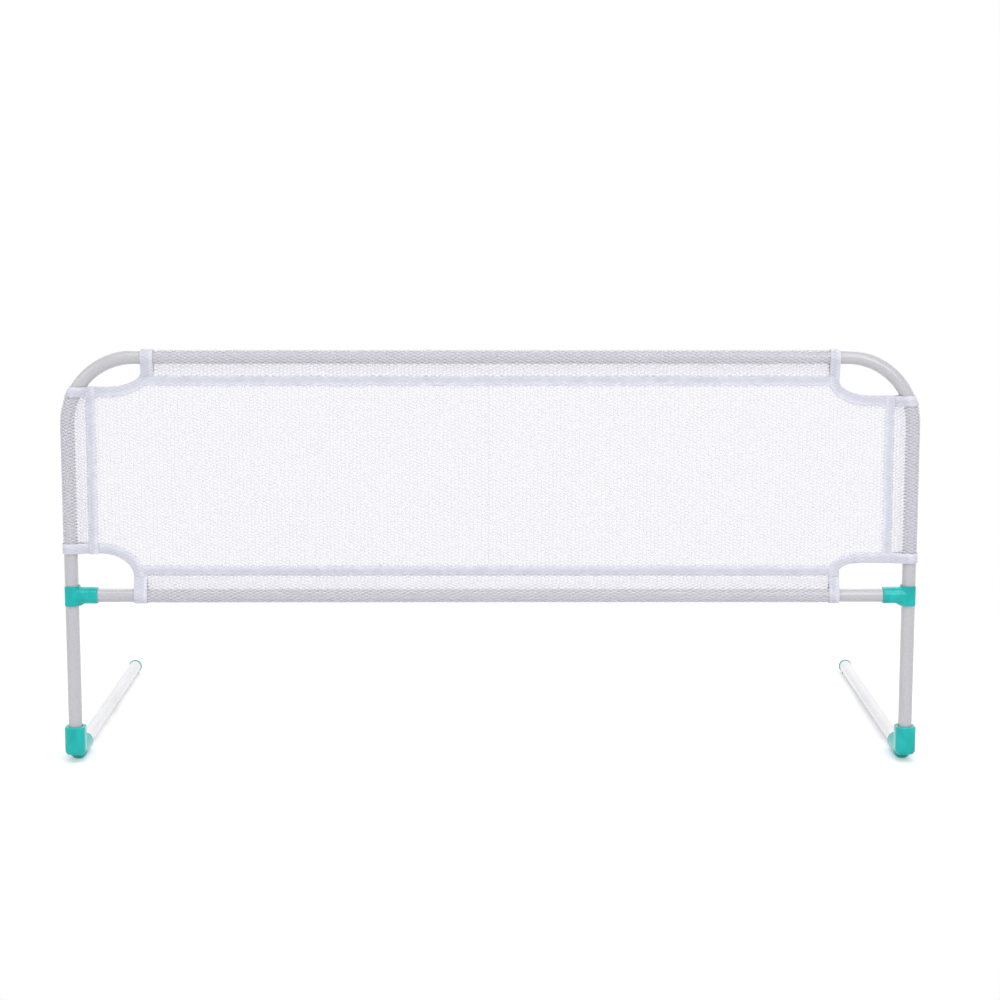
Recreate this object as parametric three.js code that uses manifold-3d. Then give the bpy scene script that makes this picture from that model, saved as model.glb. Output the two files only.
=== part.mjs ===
// Folding bed guard rail: a bent steel frame, a net panel sleeved over its tubes and two swivelling legs.
// Millimetres. +X runs along the rail, +Y back under the mattress, +Z up. The floor is z = 0.
import * as THREE from 'three';
import { mergeVertices } from 'three/addons/utils/BufferGeometryUtils.js';
import Module from 'manifold-3d';

const wasm = await Module();
wasm.setup();

// Steel frame
const railHeight = 488;
const uprightSpacing = 982;
const tubeDiameter = 16;
const tubeWall = 1.2;
const cornerRadius = 78.5;
const crossTubeHeight = 200;

// Clearance of every fit, and how far each cutter runs past what it cuts
const fitGap = 0.3;
const overrun = 6;

// Elbow at the foot of each upright: a body round the upright and a socket for the leg tube
const elbowWall = 3.7;
const elbowHeight = 34;
const elbowLift = 9;
const elbowFloor = 6;
const elbowUnderFillet = 5.5;
const elbowRimChamfer = 1.2;
const elbowCornerShare = 0.3;
const socketWall = 2.5;
const socketReach = 58;
const socketStart = 10;
const socketEndWall = 7.7;
const socketRimChamfer = 0.8;
const socketNoseChamfer = 2.4;
const footFlat = 0.5;

// Leg tube and its end cap
const legReach = 467;
const capLip = 1.25;
const capFlange = 2.2;
const capDome = 7;
const capInsert = 16;
const capFootWidth = 8;
const capFootLength = 6;

// Tee that carries the cross tube on each upright: a snap-on saddle and a socket arm
const saddleWall = 2;
const saddleHeight = 23.5;
const saddleMouth = 84;
const armWall = 1.45;
const armReach = 31;
const armRimChamfer = 0.8;
const gussetLength = 6;
const gussetWidth = 9;
const reliefWidth = 2.5;
const reliefDepth = 1.3;

// Self-tapping screws, and the plug and washer of each swivel
const screwDiameter = 3;
const screwHeadDiameter = 6.4;
const screwHeadHeight = 2;
const screwTip = 3;
const armScrewReach = 21;
const legScrewReach = 42;
const swivelScrewDiameter = 4;
const swivelHeadDiameter = 8;
const swivelScrewBite = 14;
const washerThickness = 0.8;
const plugLength = 24;
const plugChamfer = 1;

// Quarter-turn stop: a lug in the elbow's bore runs in a slot in the upright's end
const foldAngle = 90;
const stopLugWidth = 3;
const stopLugHeight = 4;

// Net cover: thickness of its layers, the seam line and the cut-out corners
const sleeveThickness = 1;
const hemReach = 22.5;
const seamWidth = 3;
const topNotchDrop = 34.5;
const bottomNotchRise = 48.5;
const rightSleeveSlip = 10;
const notchLength = 80;
const notchCurve = 38;
const netThickness = 1.2;
const netPitchLength = 58;
const netPitchHeight = 27;
const netFlatShare = 1 / 6;
const netStrand = 3.2;
const netMargin = 3;
const hemTapeWidth = 10.7;
const hemTapeThickness = 0.8;
const bindingWidth = 12;
const bindingThickness = 1;

// Fineness of round faces, in sides or steps
const tubeSides = 20;
const bendSteps = 10;
const socketSides = 20;
const screwSides = 8;
const filletSteps = 4;
const sleeveSteps = 14;
const sleeveBendSteps = 4;
const notchSteps = 8;
const capSteps = 4;
const quarterTurn = Math.PI / 2;

// Sizes that follow from the ones above
const tubeRadius = tubeDiameter / 2;
const boreRadius = tubeRadius + fitGap;
const topTubeHeight = railHeight - tubeRadius;
const bendHeight = topTubeHeight - cornerRadius;
const halfSpacing = uprightSpacing / 2;
const elbowWidth = 2 * (boreRadius + elbowWall);
const elbowTop = elbowLift + elbowHeight;
const uprightEnd = elbowLift + elbowFloor + fitGap;
const socketRadius = boreRadius + socketWall;
const legAxisHeight = socketRadius - footFlat;
const socketBottom = boreRadius + socketEndWall;
const capRadius = tubeRadius + capLip;
const saddleRadius = boreRadius + saddleWall;
const armRadius = boreRadius + armWall;
const overallDepth = elbowWidth / 2 + legReach + capFlange + capDome;
const screwHoleRadius = screwDiameter / 2 + fitGap;
const swivelHoleRadius = swivelScrewDiameter / 2 + fitGap;
const recessDepth = washerThickness + screwHeadHeight + 2 * fitGap;
const sleeveRadius = tubeRadius + fitGap + sleeveThickness;
const layerOffset = netThickness / 2 + fitGap;

// Materials, one colour and finish for each kind of piece
const paint = { color: 0xd3d2d8, roughness: 0.42, metalness: 0.15 };
const whitePaint = { color: 0xf1f1f4, roughness: 0.4, metalness: 0.1 };
const tealPlastic = { color: 0x22b4ad, roughness: 0.3, metalness: 0 };
const netFabric = { color: 0xf4f4f8, roughness: 0.9, metalness: 0 };
const tapeFabric = { color: 0xdcdeec, roughness: 0.85, metalness: 0 };
const zincSteel = { color: 0xb9bcc2, roughness: 0.35, metalness: 0.9 };
const greyPlastic = { color: 0x8d9094, roughness: 0.6, metalness: 0 };

// Closed geometry with shared corners merged, faces of no area dropped and the rest turned outwards
function closed(geometry) {
  const bare = geometry.clone();
  bare.deleteAttribute('normal');
  bare.deleteAttribute('uv');
  const merged = mergeVertices(bare);
  const corner = [new THREE.Vector3(), new THREE.Vector3(), new THREE.Vector3()];
  const index = [];
  let volume = 0;
  for (let i = 0; i < merged.index.count; i += 3) {
    const face = [merged.index.getX(i), merged.index.getX(i + 1), merged.index.getX(i + 2)];
    if (new Set(face).size < face.length) continue;
    face.forEach((vertex, k) => corner[k].fromBufferAttribute(merged.attributes.position, vertex));
    volume += corner[0].dot(corner[1].clone().cross(corner[2]));
    index.push(...face);
  }
  if (volume < 0) index.reverse();
  merged.setIndex(index);
  return merged;
}

// Solid for cutting and joining, made from a closed geometry
function solid(geometry) {
  const shell = closed(geometry);
  const vertProperties = Float32Array.from(shell.attributes.position.array);
  const triVerts = Uint32Array.from(shell.index.array);
  return new wasm.Manifold(new wasm.Mesh({ numProp: 3, vertProperties, triVerts }));
}

// Geometry of a finished solid
function geometryOf(body) {
  const mesh = body.getMesh();
  const geometry = new THREE.BufferGeometry();
  geometry.setAttribute('position', new THREE.BufferAttribute(mesh.vertProperties, 3));
  geometry.setIndex(new THREE.BufferAttribute(mesh.triVerts, 1));
  geometry.computeVertexNormals();
  return geometry;
}

// Named piece in its own material
function piece(name, body, finish) {
  const mesh = new THREE.Mesh(geometryOf(body), new THREE.MeshStandardMaterial(finish));
  mesh.name = name;
  return mesh;
}

// Join and cut several solids at once
const joined = (bodies) => bodies.reduce((whole, body) => whole.add(body));
const cutBy = (whole, cutters) => cutters.reduce((rest, cutter) => rest.subtract(cutter), whole);

// Rod with its axis along Z, between two heights
function rodAlongZ(radius, low, high, sides) {
  const rod = new THREE.CylinderGeometry(radius, radius, high - low, sides);
  rod.rotateX(quarterTurn);
  rod.translate(0, 0, (low + high) / 2);
  return rod;
}

// Rod with its axis along Y
function rodAlongY(radius, near, far, sides) {
  const rod = new THREE.CylinderGeometry(radius, radius, far - near, sides);
  rod.translate(0, (near + far) / 2, 0);
  return rod;
}

// Rod with its axis along X
function rodAlongX(radius, near, far, sides) {
  const rod = new THREE.CylinderGeometry(radius, radius, Math.abs(far - near), sides);
  rod.rotateZ(quarterTurn);
  rod.translate((near + far) / 2, 0, 0);
  return rod;
}

// Box from its lowest to its highest corner
function block(low, high) {
  const size = new THREE.Vector3().subVectors(high, low);
  const box = new THREE.BoxGeometry(size.x, size.y, size.z);
  const middle = new THREE.Vector3().addVectors(low, high).divideScalar(2);
  box.translate(middle.x, middle.y, middle.z);
  return box;
}

// Body turned about the Y axis from a profile of [radius, height] pairs
function turned(profile, sides) {
  return new THREE.LatheGeometry(profile.map(([radius, height]) => new THREE.Vector2(radius, height)), sides);
}

// Skin lofted through rings of as many points each, closed by flat ends
function loft(rings) {
  const count = rings[0].length;
  const index = [];
  for (let ring = 0; ring + 1 < rings.length; ring += 1) {
    for (let i = 0; i < count; i += 1) {
      const a = ring * count + i;
      const b = ring * count + (i + 1) % count;
      index.push(a, b, b + count, a, b + count, a + count);
    }
  }
  const last = (rings.length - 1) * count;
  for (let i = 1; i + 1 < count; i += 1) {
    index.push(0, i + 1, i, last, last + i, last + i + 1);
  }
  const geometry = new THREE.BufferGeometry().setFromPoints(rings.flat());
  geometry.setIndex(index);
  return geometry;
}

// Flat outline in the plane of the panel, thickened evenly about a depth
function slab(shape, thickness, depth = 0) {
  const geometry = new THREE.ExtrudeGeometry(shape, { depth: thickness, bevelEnabled: false });
  geometry.rotateX(quarterTurn);
  geometry.translate(0, depth + thickness / 2, 0);
  return geometry;
}

// Ring-shaped section of a tube
function tubeSection() {
  const section = new THREE.Shape().absarc(0, 0, tubeRadius, 0, 2 * Math.PI);
  section.holes.push(new THREE.Path().absarc(0, 0, tubeRadius - tubeWall, 0, 2 * Math.PI, true));
  return section;
}

// Straight tube with its axis along Z
function straightTube(low, high) {
  const tube = new THREE.ExtrudeGeometry(tubeSection(), {
    depth: high - low,
    curveSegments: tubeSides / 2,
    bevelEnabled: false,
  });
  tube.translate(0, 0, low);
  return tube;
}

// Centre line of the bent frame, with stations only where it starts, bends and ends
class FrameLine extends THREE.Curve {
  constructor() {
    super();
    this.stations = [[new THREE.Vector3(-halfSpacing, 0, uprightEnd), 0]];
    this.addBend(-1);
    this.addBend(1);
    this.stations.push([new THREE.Vector3(halfSpacing, 0, uprightEnd), Math.PI]);
  }

  // One corner: the heading turns from up to along, or from along to down
  addBend(side) {
    for (let step = 0; step <= bendSteps; step += 1) {
      const swept = quarterTurn * step / bendSteps;
      const heading = side < 0 ? swept : quarterTurn + swept;
      const x = side * (halfSpacing - cornerRadius) - cornerRadius * Math.cos(heading);
      const z = bendHeight + cornerRadius * Math.sin(heading);
      this.stations.push([new THREE.Vector3(x, 0, z), heading]);
    }
  }

  station(share) {
    return this.stations[Math.round(share * (this.stations.length - 1))];
  }

  getPointAt(share) {
    return this.station(share)[0].clone();
  }

  getTangentAt(share) {
    const heading = this.station(share)[1];
    return new THREE.Vector3(Math.sin(heading), 0, Math.cos(heading));
  }
}

// Wedge over an arc of angles, from the axis out past the tube, between two heights
function wedge(from, to, low, high) {
  const reach = tubeRadius + overrun;
  const start = Math.min(from, to);
  const outline = new THREE.Shape();
  outline.lineTo(reach * Math.cos(start), reach * Math.sin(start));
  outline.absarc(0, 0, reach, start, Math.max(from, to));
  const body = new THREE.ExtrudeGeometry(outline, { depth: high - low, bevelEnabled: false });
  body.translate(0, 0, low);
  return body;
}

// Slot in the upright's end that lets the stop lug travel from the back to the inner side
function stopSlot(inward) {
  const margin = Math.asin((stopLugWidth / 2 + fitGap) / (tubeRadius - tubeWall));
  const back = quarterTurn;
  const folded = quarterTurn - inward * THREE.MathUtils.degToRad(foldAngle);
  const slotTop = uprightEnd + stopLugHeight;
  return wedge(back + inward * margin, folded - inward * margin, uprightEnd - overrun, slotTop);
}

// Bent frame tube: both uprights and the top in one piece, drilled for the tees' screws
function frameTube() {
  const line = new FrameLine();
  const sweep = new THREE.ExtrudeGeometry(tubeSection(), {
    steps: line.stations.length - 1,
    curveSegments: tubeSides / 2,
    extrudePath: line,
  });
  const cutters = [];
  for (const inward of [1, -1]) {
    const hole = rodAlongY(screwHoleRadius, 0, tubeRadius + overrun, screwSides);
    hole.translate(-inward * halfSpacing, 0, crossTubeHeight);
    const slot = stopSlot(inward);
    slot.translate(-inward * halfSpacing, 0, 0);
    cutters.push(solid(hole), solid(slot));
  }
  return cutBy(solid(sweep), cutters);
}

// Cross tube between the two tees, drilled at both ends
function crossTube() {
  const end = halfSpacing - saddleRadius - fitGap;
  const tube = straightTube(-end, end);
  tube.rotateY(quarterTurn);
  const cutters = [-1, 1].map((side) => {
    const hole = rodAlongY(screwHoleRadius, 0, tubeRadius + overrun, screwSides);
    hole.translate(side * (halfSpacing - armScrewReach), 0, 0);
    return solid(hole);
  });
  return cutBy(solid(tube), cutters);
}

// Saddle of a tee: a ring with its mouth on the outer side
function saddle(inward) {
  const half = Math.PI - THREE.MathUtils.degToRad(saddleMouth) / 2;
  const outline = new THREE.Shape().absarc(0, 0, saddleRadius, -half, half);
  outline.absarc(0, 0, boreRadius, half, -half, true);
  const ring = new THREE.ExtrudeGeometry(outline, {
    depth: saddleHeight,
    curveSegments: tubeSides / 2,
    bevelEnabled: false,
  });
  ring.translate(0, 0, -saddleHeight / 2);
  if (inward < 0) ring.rotateZ(Math.PI);
  return ring;
}

// Socket arm of a tee, from inside the saddle to its chamfered rim
function teeArm(inward) {
  const arm = turned([
    [0, 0],
    [armRadius, 0],
    [armRadius, armReach - armRimChamfer],
    [armRadius - armRimChamfer, armReach],
    [0, armReach],
  ], socketSides);
  arm.rotateZ(-inward * quarterTurn);
  return arm;
}

// Web under the arm where it meets the saddle's lower rim
function teeGusset(inward) {
  const low = -saddleHeight / 2;
  const outline = new THREE.Shape();
  outline.moveTo(inward * tubeRadius, low);
  outline.lineTo(inward * saddleRadius, low);
  outline.lineTo(inward * (saddleRadius + gussetLength), -armRadius + reliefDepth);
  outline.lineTo(inward * tubeRadius, -armRadius + reliefDepth);
  return slab(outline, gussetWidth);
}

// Moulding relief across the top, where the saddle's upper rim meets the arm
function teeRelief(inward) {
  const near = inward * (saddleRadius - reliefDepth);
  const far = near + inward * reliefWidth;
  const low = new THREE.Vector3(Math.min(near, far), -tubeRadius / 2, armRadius - reliefDepth);
  const high = new THREE.Vector3(Math.max(near, far), tubeRadius / 2, saddleHeight);
  return block(low, high);
}

// Tee: saddle, arm and web in one moulding, bored for both tubes and both screws
function tee(inward) {
  const half = saddleHeight / 2;
  const uprightBore = rodAlongZ(boreRadius, -half - overrun, half + overrun, socketSides);
  const armBore = rodAlongX(boreRadius, inward * saddleRadius, inward * (armReach + overrun), socketSides);
  const saddleHole = rodAlongY(screwHoleRadius, 0, saddleRadius + overrun, screwSides);
  const armHole = saddleHole.clone().translate(inward * armScrewReach, 0, 0);
  const arm = cutBy(joined([solid(teeArm(inward)), solid(teeGusset(inward))]), [solid(uprightBore)]);
  const whole = joined([solid(saddle(inward)), arm]);
  return cutBy(whole, [armBore, saddleHole, armHole, teeRelief(inward)].map(solid));
}

// Pan-head screw along Y with its head's seat at y = 0 and its shank towards -Y
function screw(diameter, headDiameter, reach) {
  const radius = diameter / 2;
  const headRadius = headDiameter / 2;
  const shoulder = headRadius - screwHeadHeight / 2;
  return turned([
    [0, -reach],
    [radius, radius - reach],
    [radius, 0],
    [headRadius, 0],
    [headRadius, screwHeadHeight / 2],
    [shoulder, screwHeadHeight],
    [0, screwHeadHeight],
  ], screwSides);
}

// Tapping screw that holds a fitting of a given outer radius to the tube inside it
function tappingScrew(fittingRadius) {
  const reach = fittingRadius + fitGap - tubeRadius + tubeWall + screwTip;
  const body = screw(screwDiameter, screwHeadDiameter, reach);
  body.translate(0, fittingRadius + fitGap, 0);
  return body;
}

// Ring of a square with round corners, counter-clockwise at one height
function roundedSquare(width, radius, height) {
  const corners = [[1, 1], [-1, 1], [-1, -1], [1, -1]];
  return corners.flatMap(([x, y], quarter) => {
    const points = [];
    for (let step = 0; step <= filletSteps; step += 1) {
      const angle = quarterTurn * (quarter + step / filletSteps);
      const cx = x * (width / 2 - radius);
      const cy = y * (width / 2 - radius);
      points.push(new THREE.Vector3(cx + radius * Math.cos(angle), cy + radius * Math.sin(angle), height));
    }
    return points;
  });
}

// Outer form of the elbow's upright body: filleted below, chamfered round the rim
function elbowBody() {
  const corner = elbowWidth * elbowCornerShare;
  const rings = [];
  for (let step = 0; step <= filletSteps; step += 1) {
    const angle = quarterTurn * step / filletSteps;
    const inset = elbowUnderFillet * (1 - Math.sin(angle));
    const height = elbowLift + elbowUnderFillet * (1 - Math.cos(angle));
    rings.push(roundedSquare(elbowWidth - 2 * inset, corner - inset, height));
  }
  rings.push(roundedSquare(elbowWidth, corner, elbowTop - elbowRimChamfer));
  rings.push(roundedSquare(elbowWidth - 2 * elbowRimChamfer, corner - elbowRimChamfer, elbowTop));
  return loft(rings);
}

// Outer form of the elbow's leg socket, flat underneath where it stands on the floor
function elbowSocket() {
  const form = turned([
    [0, socketStart],
    [socketRadius - socketNoseChamfer, socketStart],
    [socketRadius, socketStart + socketNoseChamfer],
    [socketRadius, socketReach - socketRimChamfer],
    [socketRadius - socketRimChamfer, socketReach],
    [0, socketReach],
  ], socketSides);
  form.translate(0, 0, legAxisHeight);
  const below = new THREE.Vector3(-elbowWidth, -elbowWidth, -overrun);
  const floor = block(below, new THREE.Vector3(elbowWidth, socketReach + overrun, 0));
  return solid(form).subtract(solid(floor));
}

// Lug in the bottom of the elbow's bore, behind the upright's axis
function stopLug() {
  const low = elbowLift + elbowFloor - elbowRimChamfer;
  const near = tubeRadius - tubeWall + fitGap / 2;
  const corner = new THREE.Vector3(-stopLugWidth / 2, near, low);
  return block(corner, new THREE.Vector3(stopLugWidth / 2, boreRadius + elbowWall / 2, uprightEnd + stopLugHeight - fitGap));
}

// Elbow: one moulding with a bore for the upright, a socket for the leg and a recess for the swivel screw
function elbow(inward) {
  const floorTop = elbowLift + elbowFloor;
  const uprightBore = rodAlongZ(boreRadius, floorTop, elbowTop + overrun, socketSides);
  const legBore = rodAlongY(boreRadius, socketBottom, socketReach + overrun, socketSides);
  legBore.translate(0, 0, legAxisHeight);
  const screwBore = rodAlongZ(swivelHoleRadius, 0, floorTop + overrun, screwSides);
  const recess = rodAlongZ(swivelHeadDiameter / 2 + fitGap, 0, elbowLift + recessDepth, socketSides);
  const legScrewBore = rodAlongX(screwHoleRadius, 0, -inward * (socketRadius + overrun), screwSides);
  legScrewBore.translate(0, legScrewReach, legAxisHeight);
  const form = joined([solid(elbowBody()), elbowSocket()]);
  const bored = cutBy(form, [uprightBore, legBore, screwBore, recess, legScrewBore].map(solid));
  return joined([bored, solid(stopLug())]);
}

// Leg tube from the bottom of its socket to the cap, drilled for the socket's screw
function legTube(inward) {
  const tube = straightTube(socketBottom + fitGap, legReach - fitGap);
  tube.rotateX(-quarterTurn);
  tube.translate(0, 0, legAxisHeight);
  const hole = rodAlongX(screwHoleRadius, 0, -inward * (tubeRadius + overrun), screwSides);
  hole.translate(0, legScrewReach, legAxisHeight);
  return solid(tube).subtract(solid(hole));
}

// End cap: an insert in the tube, a flange, a dome and a small foot that levels the leg
function legCap() {
  const insertRadius = tubeRadius - tubeWall - fitGap;
  const profile = [[0, -capInsert], [insertRadius, -capInsert], [insertRadius, 0], [capRadius, 0]];
  const domeRadius = capRadius - capLip / 2;
  for (let step = 0; step <= capSteps; step += 1) {
    const angle = quarterTurn * step / capSteps;
    profile.push([domeRadius * Math.cos(angle), capFlange + capDome * Math.sin(angle)]);
  }
  profile.splice(4, 0, [capRadius, capFlange]);
  const cap = turned(profile, tubeSides);
  cap.translate(0, legReach, legAxisHeight);
  const low = new THREE.Vector3(-capFootWidth / 2, legReach, 0);
  const foot = block(low, new THREE.Vector3(capFootWidth / 2, legReach + capFootLength, legAxisHeight));
  return joined([solid(cap), solid(foot)]);
}

// Screw that holds the leg tube in its socket, from the outer side
function legScrew(inward) {
  const body = tappingScrew(socketRadius);
  body.rotateZ(inward * quarterTurn);
  body.translate(0, legScrewReach, legAxisHeight);
  return solid(body);
}

// Plug pressed into the upright's end, bored for the swivel screw
function uprightPlug() {
  const radius = tubeRadius - tubeWall - fitGap;
  const form = turned([
    [0, 0],
    [radius - plugChamfer, 0],
    [radius, plugChamfer],
    [radius, plugLength - plugChamfer],
    [radius - plugChamfer, plugLength],
    [0, plugLength],
  ], tubeSides);
  form.rotateX(quarterTurn);
  form.translate(0, 0, uprightEnd);
  const bore = rodAlongZ(swivelHoleRadius, 0, uprightEnd + swivelScrewBite + fitGap, screwSides);
  return solid(form).subtract(solid(bore));
}

// Swivel screw: its head hides in the elbow's recess and its shank bites into the plug
function swivelScrew() {
  const seat = elbowLift + screwHeadHeight;
  const body = screw(swivelScrewDiameter, swivelHeadDiameter, uprightEnd + swivelScrewBite - seat);
  body.rotateX(-quarterTurn);
  body.translate(0, 0, seat);
  return solid(body);
}

// Washer between the swivel screw's head and the elbow's floor
function swivelWasher() {
  const low = elbowLift + screwHeadHeight + fitGap;
  const disc = rodAlongZ(swivelHeadDiameter / 2, low, low + washerThickness, socketSides);
  const hole = rodAlongZ(swivelHoleRadius, 0, low + overrun, screwSides);
  return solid(disc).subtract(solid(hole));
}

// Outline of a sleeve round a tube, as [inward, across] pairs from the tube's axis:
// an arc on the far side and two straight flanks that close at the seam
function sleeveOutline(radius, reach, tip) {
  const opening = Math.acos((radius - tip) / reach);
  const points = [[reach, tip]];
  for (let step = 0; step <= sleeveSteps; step += 1) {
    const angle = opening + 2 * (Math.PI - opening) * step / sleeveSteps;
    points.push([radius * Math.cos(angle), radius * Math.sin(angle)]);
  }
  points.push([reach, -tip]);
  return points;
}

// Sleeve form round the top tube or the cross tube; growth moves its whole skin outwards
function levelSleeve(tubeHeight, inwardDrop, from, to, growth) {
  const outline = sleeveOutline(sleeveRadius + growth, hemReach + growth, sleeveThickness + growth);
  const ringAt = (x) => outline.map(([inward, across]) => (
    new THREE.Vector3(x, across, tubeHeight + inwardDrop * inward)
  ));
  return solid(loft([ringAt(from), ringAt(to)]));
}

// Where a line that runs inward of the tube's axis lies at one height, once the tube has begun to bend
function bentInward(inward, rise) {
  if (rise <= 0) return inward;
  return cornerRadius - Math.sqrt((cornerRadius - inward) ** 2 - rise ** 2);
}

// Ring of a side sleeve at one height; its seam runs straight up until the bending tube pushes it inwards
function sideRing(side, height, radius, reach, tip) {
  const rise = height - bendHeight;
  const straight = rise > 0 ? cornerRadius - Math.hypot(cornerRadius - reach, rise) : reach;
  const seam = Math.max(straight, radius + seamWidth + tip);
  return sleeveOutline(radius, seam, tip).map(([inward, across]) => (
    new THREE.Vector3(side * (halfSpacing - bentInward(inward, rise)), across, height)
  ));
}

// Heights at which a side sleeve needs a ring: its ends, the start of the bend and steps along it
function sleeveHeights(low, high) {
  const heights = [low, high];
  for (let step = 0; step < sleeveBendSteps; step += 1) {
    const height = bendHeight + (high - bendHeight) * step / sleeveBendSteps;
    if (height > low && height < high) heights.push(height);
  }
  return heights.sort((a, b) => a - b);
}

// Sleeve form round an upright; growth moves its whole skin outwards
function sideSleeve(side, low, high, growth) {
  const radius = sleeveRadius + growth;
  const rings = sleeveHeights(low, high).map((height) => (
    sideRing(side, height, radius, hemReach + growth, sleeveThickness + growth)
  ));
  return solid(loft(rings));
}

// Hollow of a side sleeve, where the upright and a little slack run
function sideHollow(side, low, high) {
  const rings = sleeveHeights(low - overrun, high + overrun).map((height) => (
    sideRing(side, height, boreRadius, hemReach - seamWidth, fitGap / 2)
  ));
  return solid(loft(rings));
}

// Hollow of a level sleeve
function levelHollow(tubeHeight, inwardDrop, end) {
  const outline = sleeveOutline(boreRadius, hemReach - seamWidth, fitGap / 2);
  const ringAt = (x) => outline.map(([inward, across]) => (
    new THREE.Vector3(x, across, tubeHeight + inwardDrop * inward)
  ));
  return solid(loft([ringAt(-end - overrun), ringAt(end + overrun)]));
}

// Ends of the side sleeves; the right one has slipped a little down its upright
function sideEnds(side) {
  const slip = side > 0 ? rightSleeveSlip : 0;
  return { low: crossTubeHeight + bottomNotchRise - slip, high: topTubeHeight - topNotchDrop - slip };
}

// Cut-out corner of the cover: where its two edges lie and where the quarter curve between them is centred
function notchAt(side, upper) {
  const ends = sideEnds(side);
  const tubeHeight = upper > 0 ? topTubeHeight : crossTubeHeight;
  const edgeX = halfSpacing - notchLength;
  const edgeHeight = upper > 0 ? ends.high : ends.low;
  const centreHeight = tubeHeight - upper * sleeveRadius;
  return { side, upper, edgeX, edgeHeight, centreHeight, rise: Math.abs(centreHeight - edgeHeight) };
}

// Outline of a cut-out corner, grown towards the panel
function notchOutline(notch, growth) {
  const far = halfSpacing + overrun + sleeveRadius;
  const farHeight = notch.centreHeight + notch.upper * (sleeveRadius + tubeDiameter + overrun);
  const centreX = notch.edgeX + notchCurve;
  const points = [new THREE.Vector2(notch.side * far, notch.edgeHeight - notch.upper * growth)];
  for (let step = 0; step <= notchSteps; step += 1) {
    const angle = quarterTurn * step / notchSteps;
    const x = centreX - (notchCurve + growth) * Math.sin(angle);
    const rise = (notch.rise + growth) * Math.cos(angle);
    points.push(new THREE.Vector2(notch.side * x, notch.centreHeight - notch.upper * rise));
  }
  points.push(new THREE.Vector2(notch.side * (notch.edgeX - growth), farHeight));
  points.push(new THREE.Vector2(notch.side * far, farHeight));
  return new THREE.Shape(points);
}

const notches = [[-1, 1], [1, 1], [-1, -1], [1, -1]].map(([side, upper]) => notchAt(side, upper));
const notchCutter = (notch, growth) => solid(slab(notchOutline(notch, growth), elbowWidth));

// Rectangle of the panel between the four seams, grown on every side
function panelRectangle(growth) {
  const x = halfSpacing - hemReach - fitGap + growth;
  const low = crossTubeHeight + hemReach + fitGap - growth;
  const high = topTubeHeight - hemReach - fitGap + growth;
  return new THREE.Shape([
    new THREE.Vector2(-x, low),
    new THREE.Vector2(x, low),
    new THREE.Vector2(x, high),
    new THREE.Vector2(-x, high),
  ]);
}

// The net's gaps: flat-topped hexagons in rows that lie half a pitch apart
function gapAt(x, z) {
  const cellRise = netPitchHeight / 2;
  const cellFlat = netPitchLength * netFlatShare;
  const cellPoint = netPitchLength / 2 - cellFlat;
  const slope = Math.atan2(cellRise, cellPoint - cellFlat);
  const rise = cellRise - netStrand / 2;
  const point = cellPoint - netStrand / 2 / Math.sin(slope);
  const flat = point - rise / Math.tan(slope);
  const corners = [[point, 0], [flat, rise], [-flat, rise], [-point, 0], [-flat, -rise], [flat, -rise]];
  return corners.map(([dx, dz]) => new THREE.Vector2(x + dx, z + dz));
}

// A point of a gap is clear when it lies inside the hem tapes and the corner bindings
function clearOfEdges(point) {
  const border = hemReach + fitGap + hemTapeWidth + netMargin;
  if (Math.abs(point.x) > halfSpacing - border) return false;
  if (point.y < crossTubeHeight + border || point.y > topTubeHeight - border) return false;
  return notches.every((notch) => {
    const across = notch.edgeX + notchCurve - notch.side * point.x;
    const up = notch.upper * (notch.centreHeight - point.y);
    if (notch.side * point.x < 0 || across > notchCurve + bindingWidth + netMargin) return true;
    const reach = bindingWidth + netMargin;
    if (across <= 0) return up > notch.rise + reach;
    if (up <= 0) return false;
    return (across / (notchCurve + reach)) ** 2 + (up / (notch.rise + reach)) ** 2 > 1;
  });
}

// Net panel: one flat layer, open between its strands and closed under its hems
function netPanel(sleeves) {
  const outline = panelRectangle(0);
  const middle = (crossTubeHeight + topTubeHeight) / 2;
  const columns = Math.ceil(halfSpacing / netPitchLength);
  const rows = Math.ceil((topTubeHeight - crossTubeHeight) / netPitchHeight);
  for (let row = -rows; row <= rows; row += 1) {
    const shift = row % 2 === 0 ? 0 : netPitchLength / 2;
    for (let column = -columns; column <= columns; column += 1) {
      const gap = gapAt(column * netPitchLength + shift, middle + row * netPitchHeight / 2);
      if (gap.every(clearOfEdges)) outline.holes.push(new THREE.Path(gap));
    }
  }
  const cutters = notches.map((notch) => notchCutter(notch, fitGap));
  return cutBy(solid(slab(outline, netThickness)), [...cutters, ...sleeves]);
}

// Hem tape on the front of the panel, between two corners of its rectangle
function hemTape(low, high, sleeves) {
  const outline = new THREE.Shape([
    new THREE.Vector2(low.x, low.y),
    new THREE.Vector2(high.x, low.y),
    new THREE.Vector2(high.x, high.y),
    new THREE.Vector2(low.x, high.y),
  ]);
  const strip = slab(outline, hemTapeThickness, -layerOffset - hemTapeThickness / 2);
  const corners = notches.map((notch) => notchCutter(notch, bindingWidth + fitGap));
  const bands = notches.flatMap((notch) => sleeveBands(notch, fitGap));
  return cutBy(solid(strip), [...corners, ...bands, ...sleeves]);
}

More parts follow.
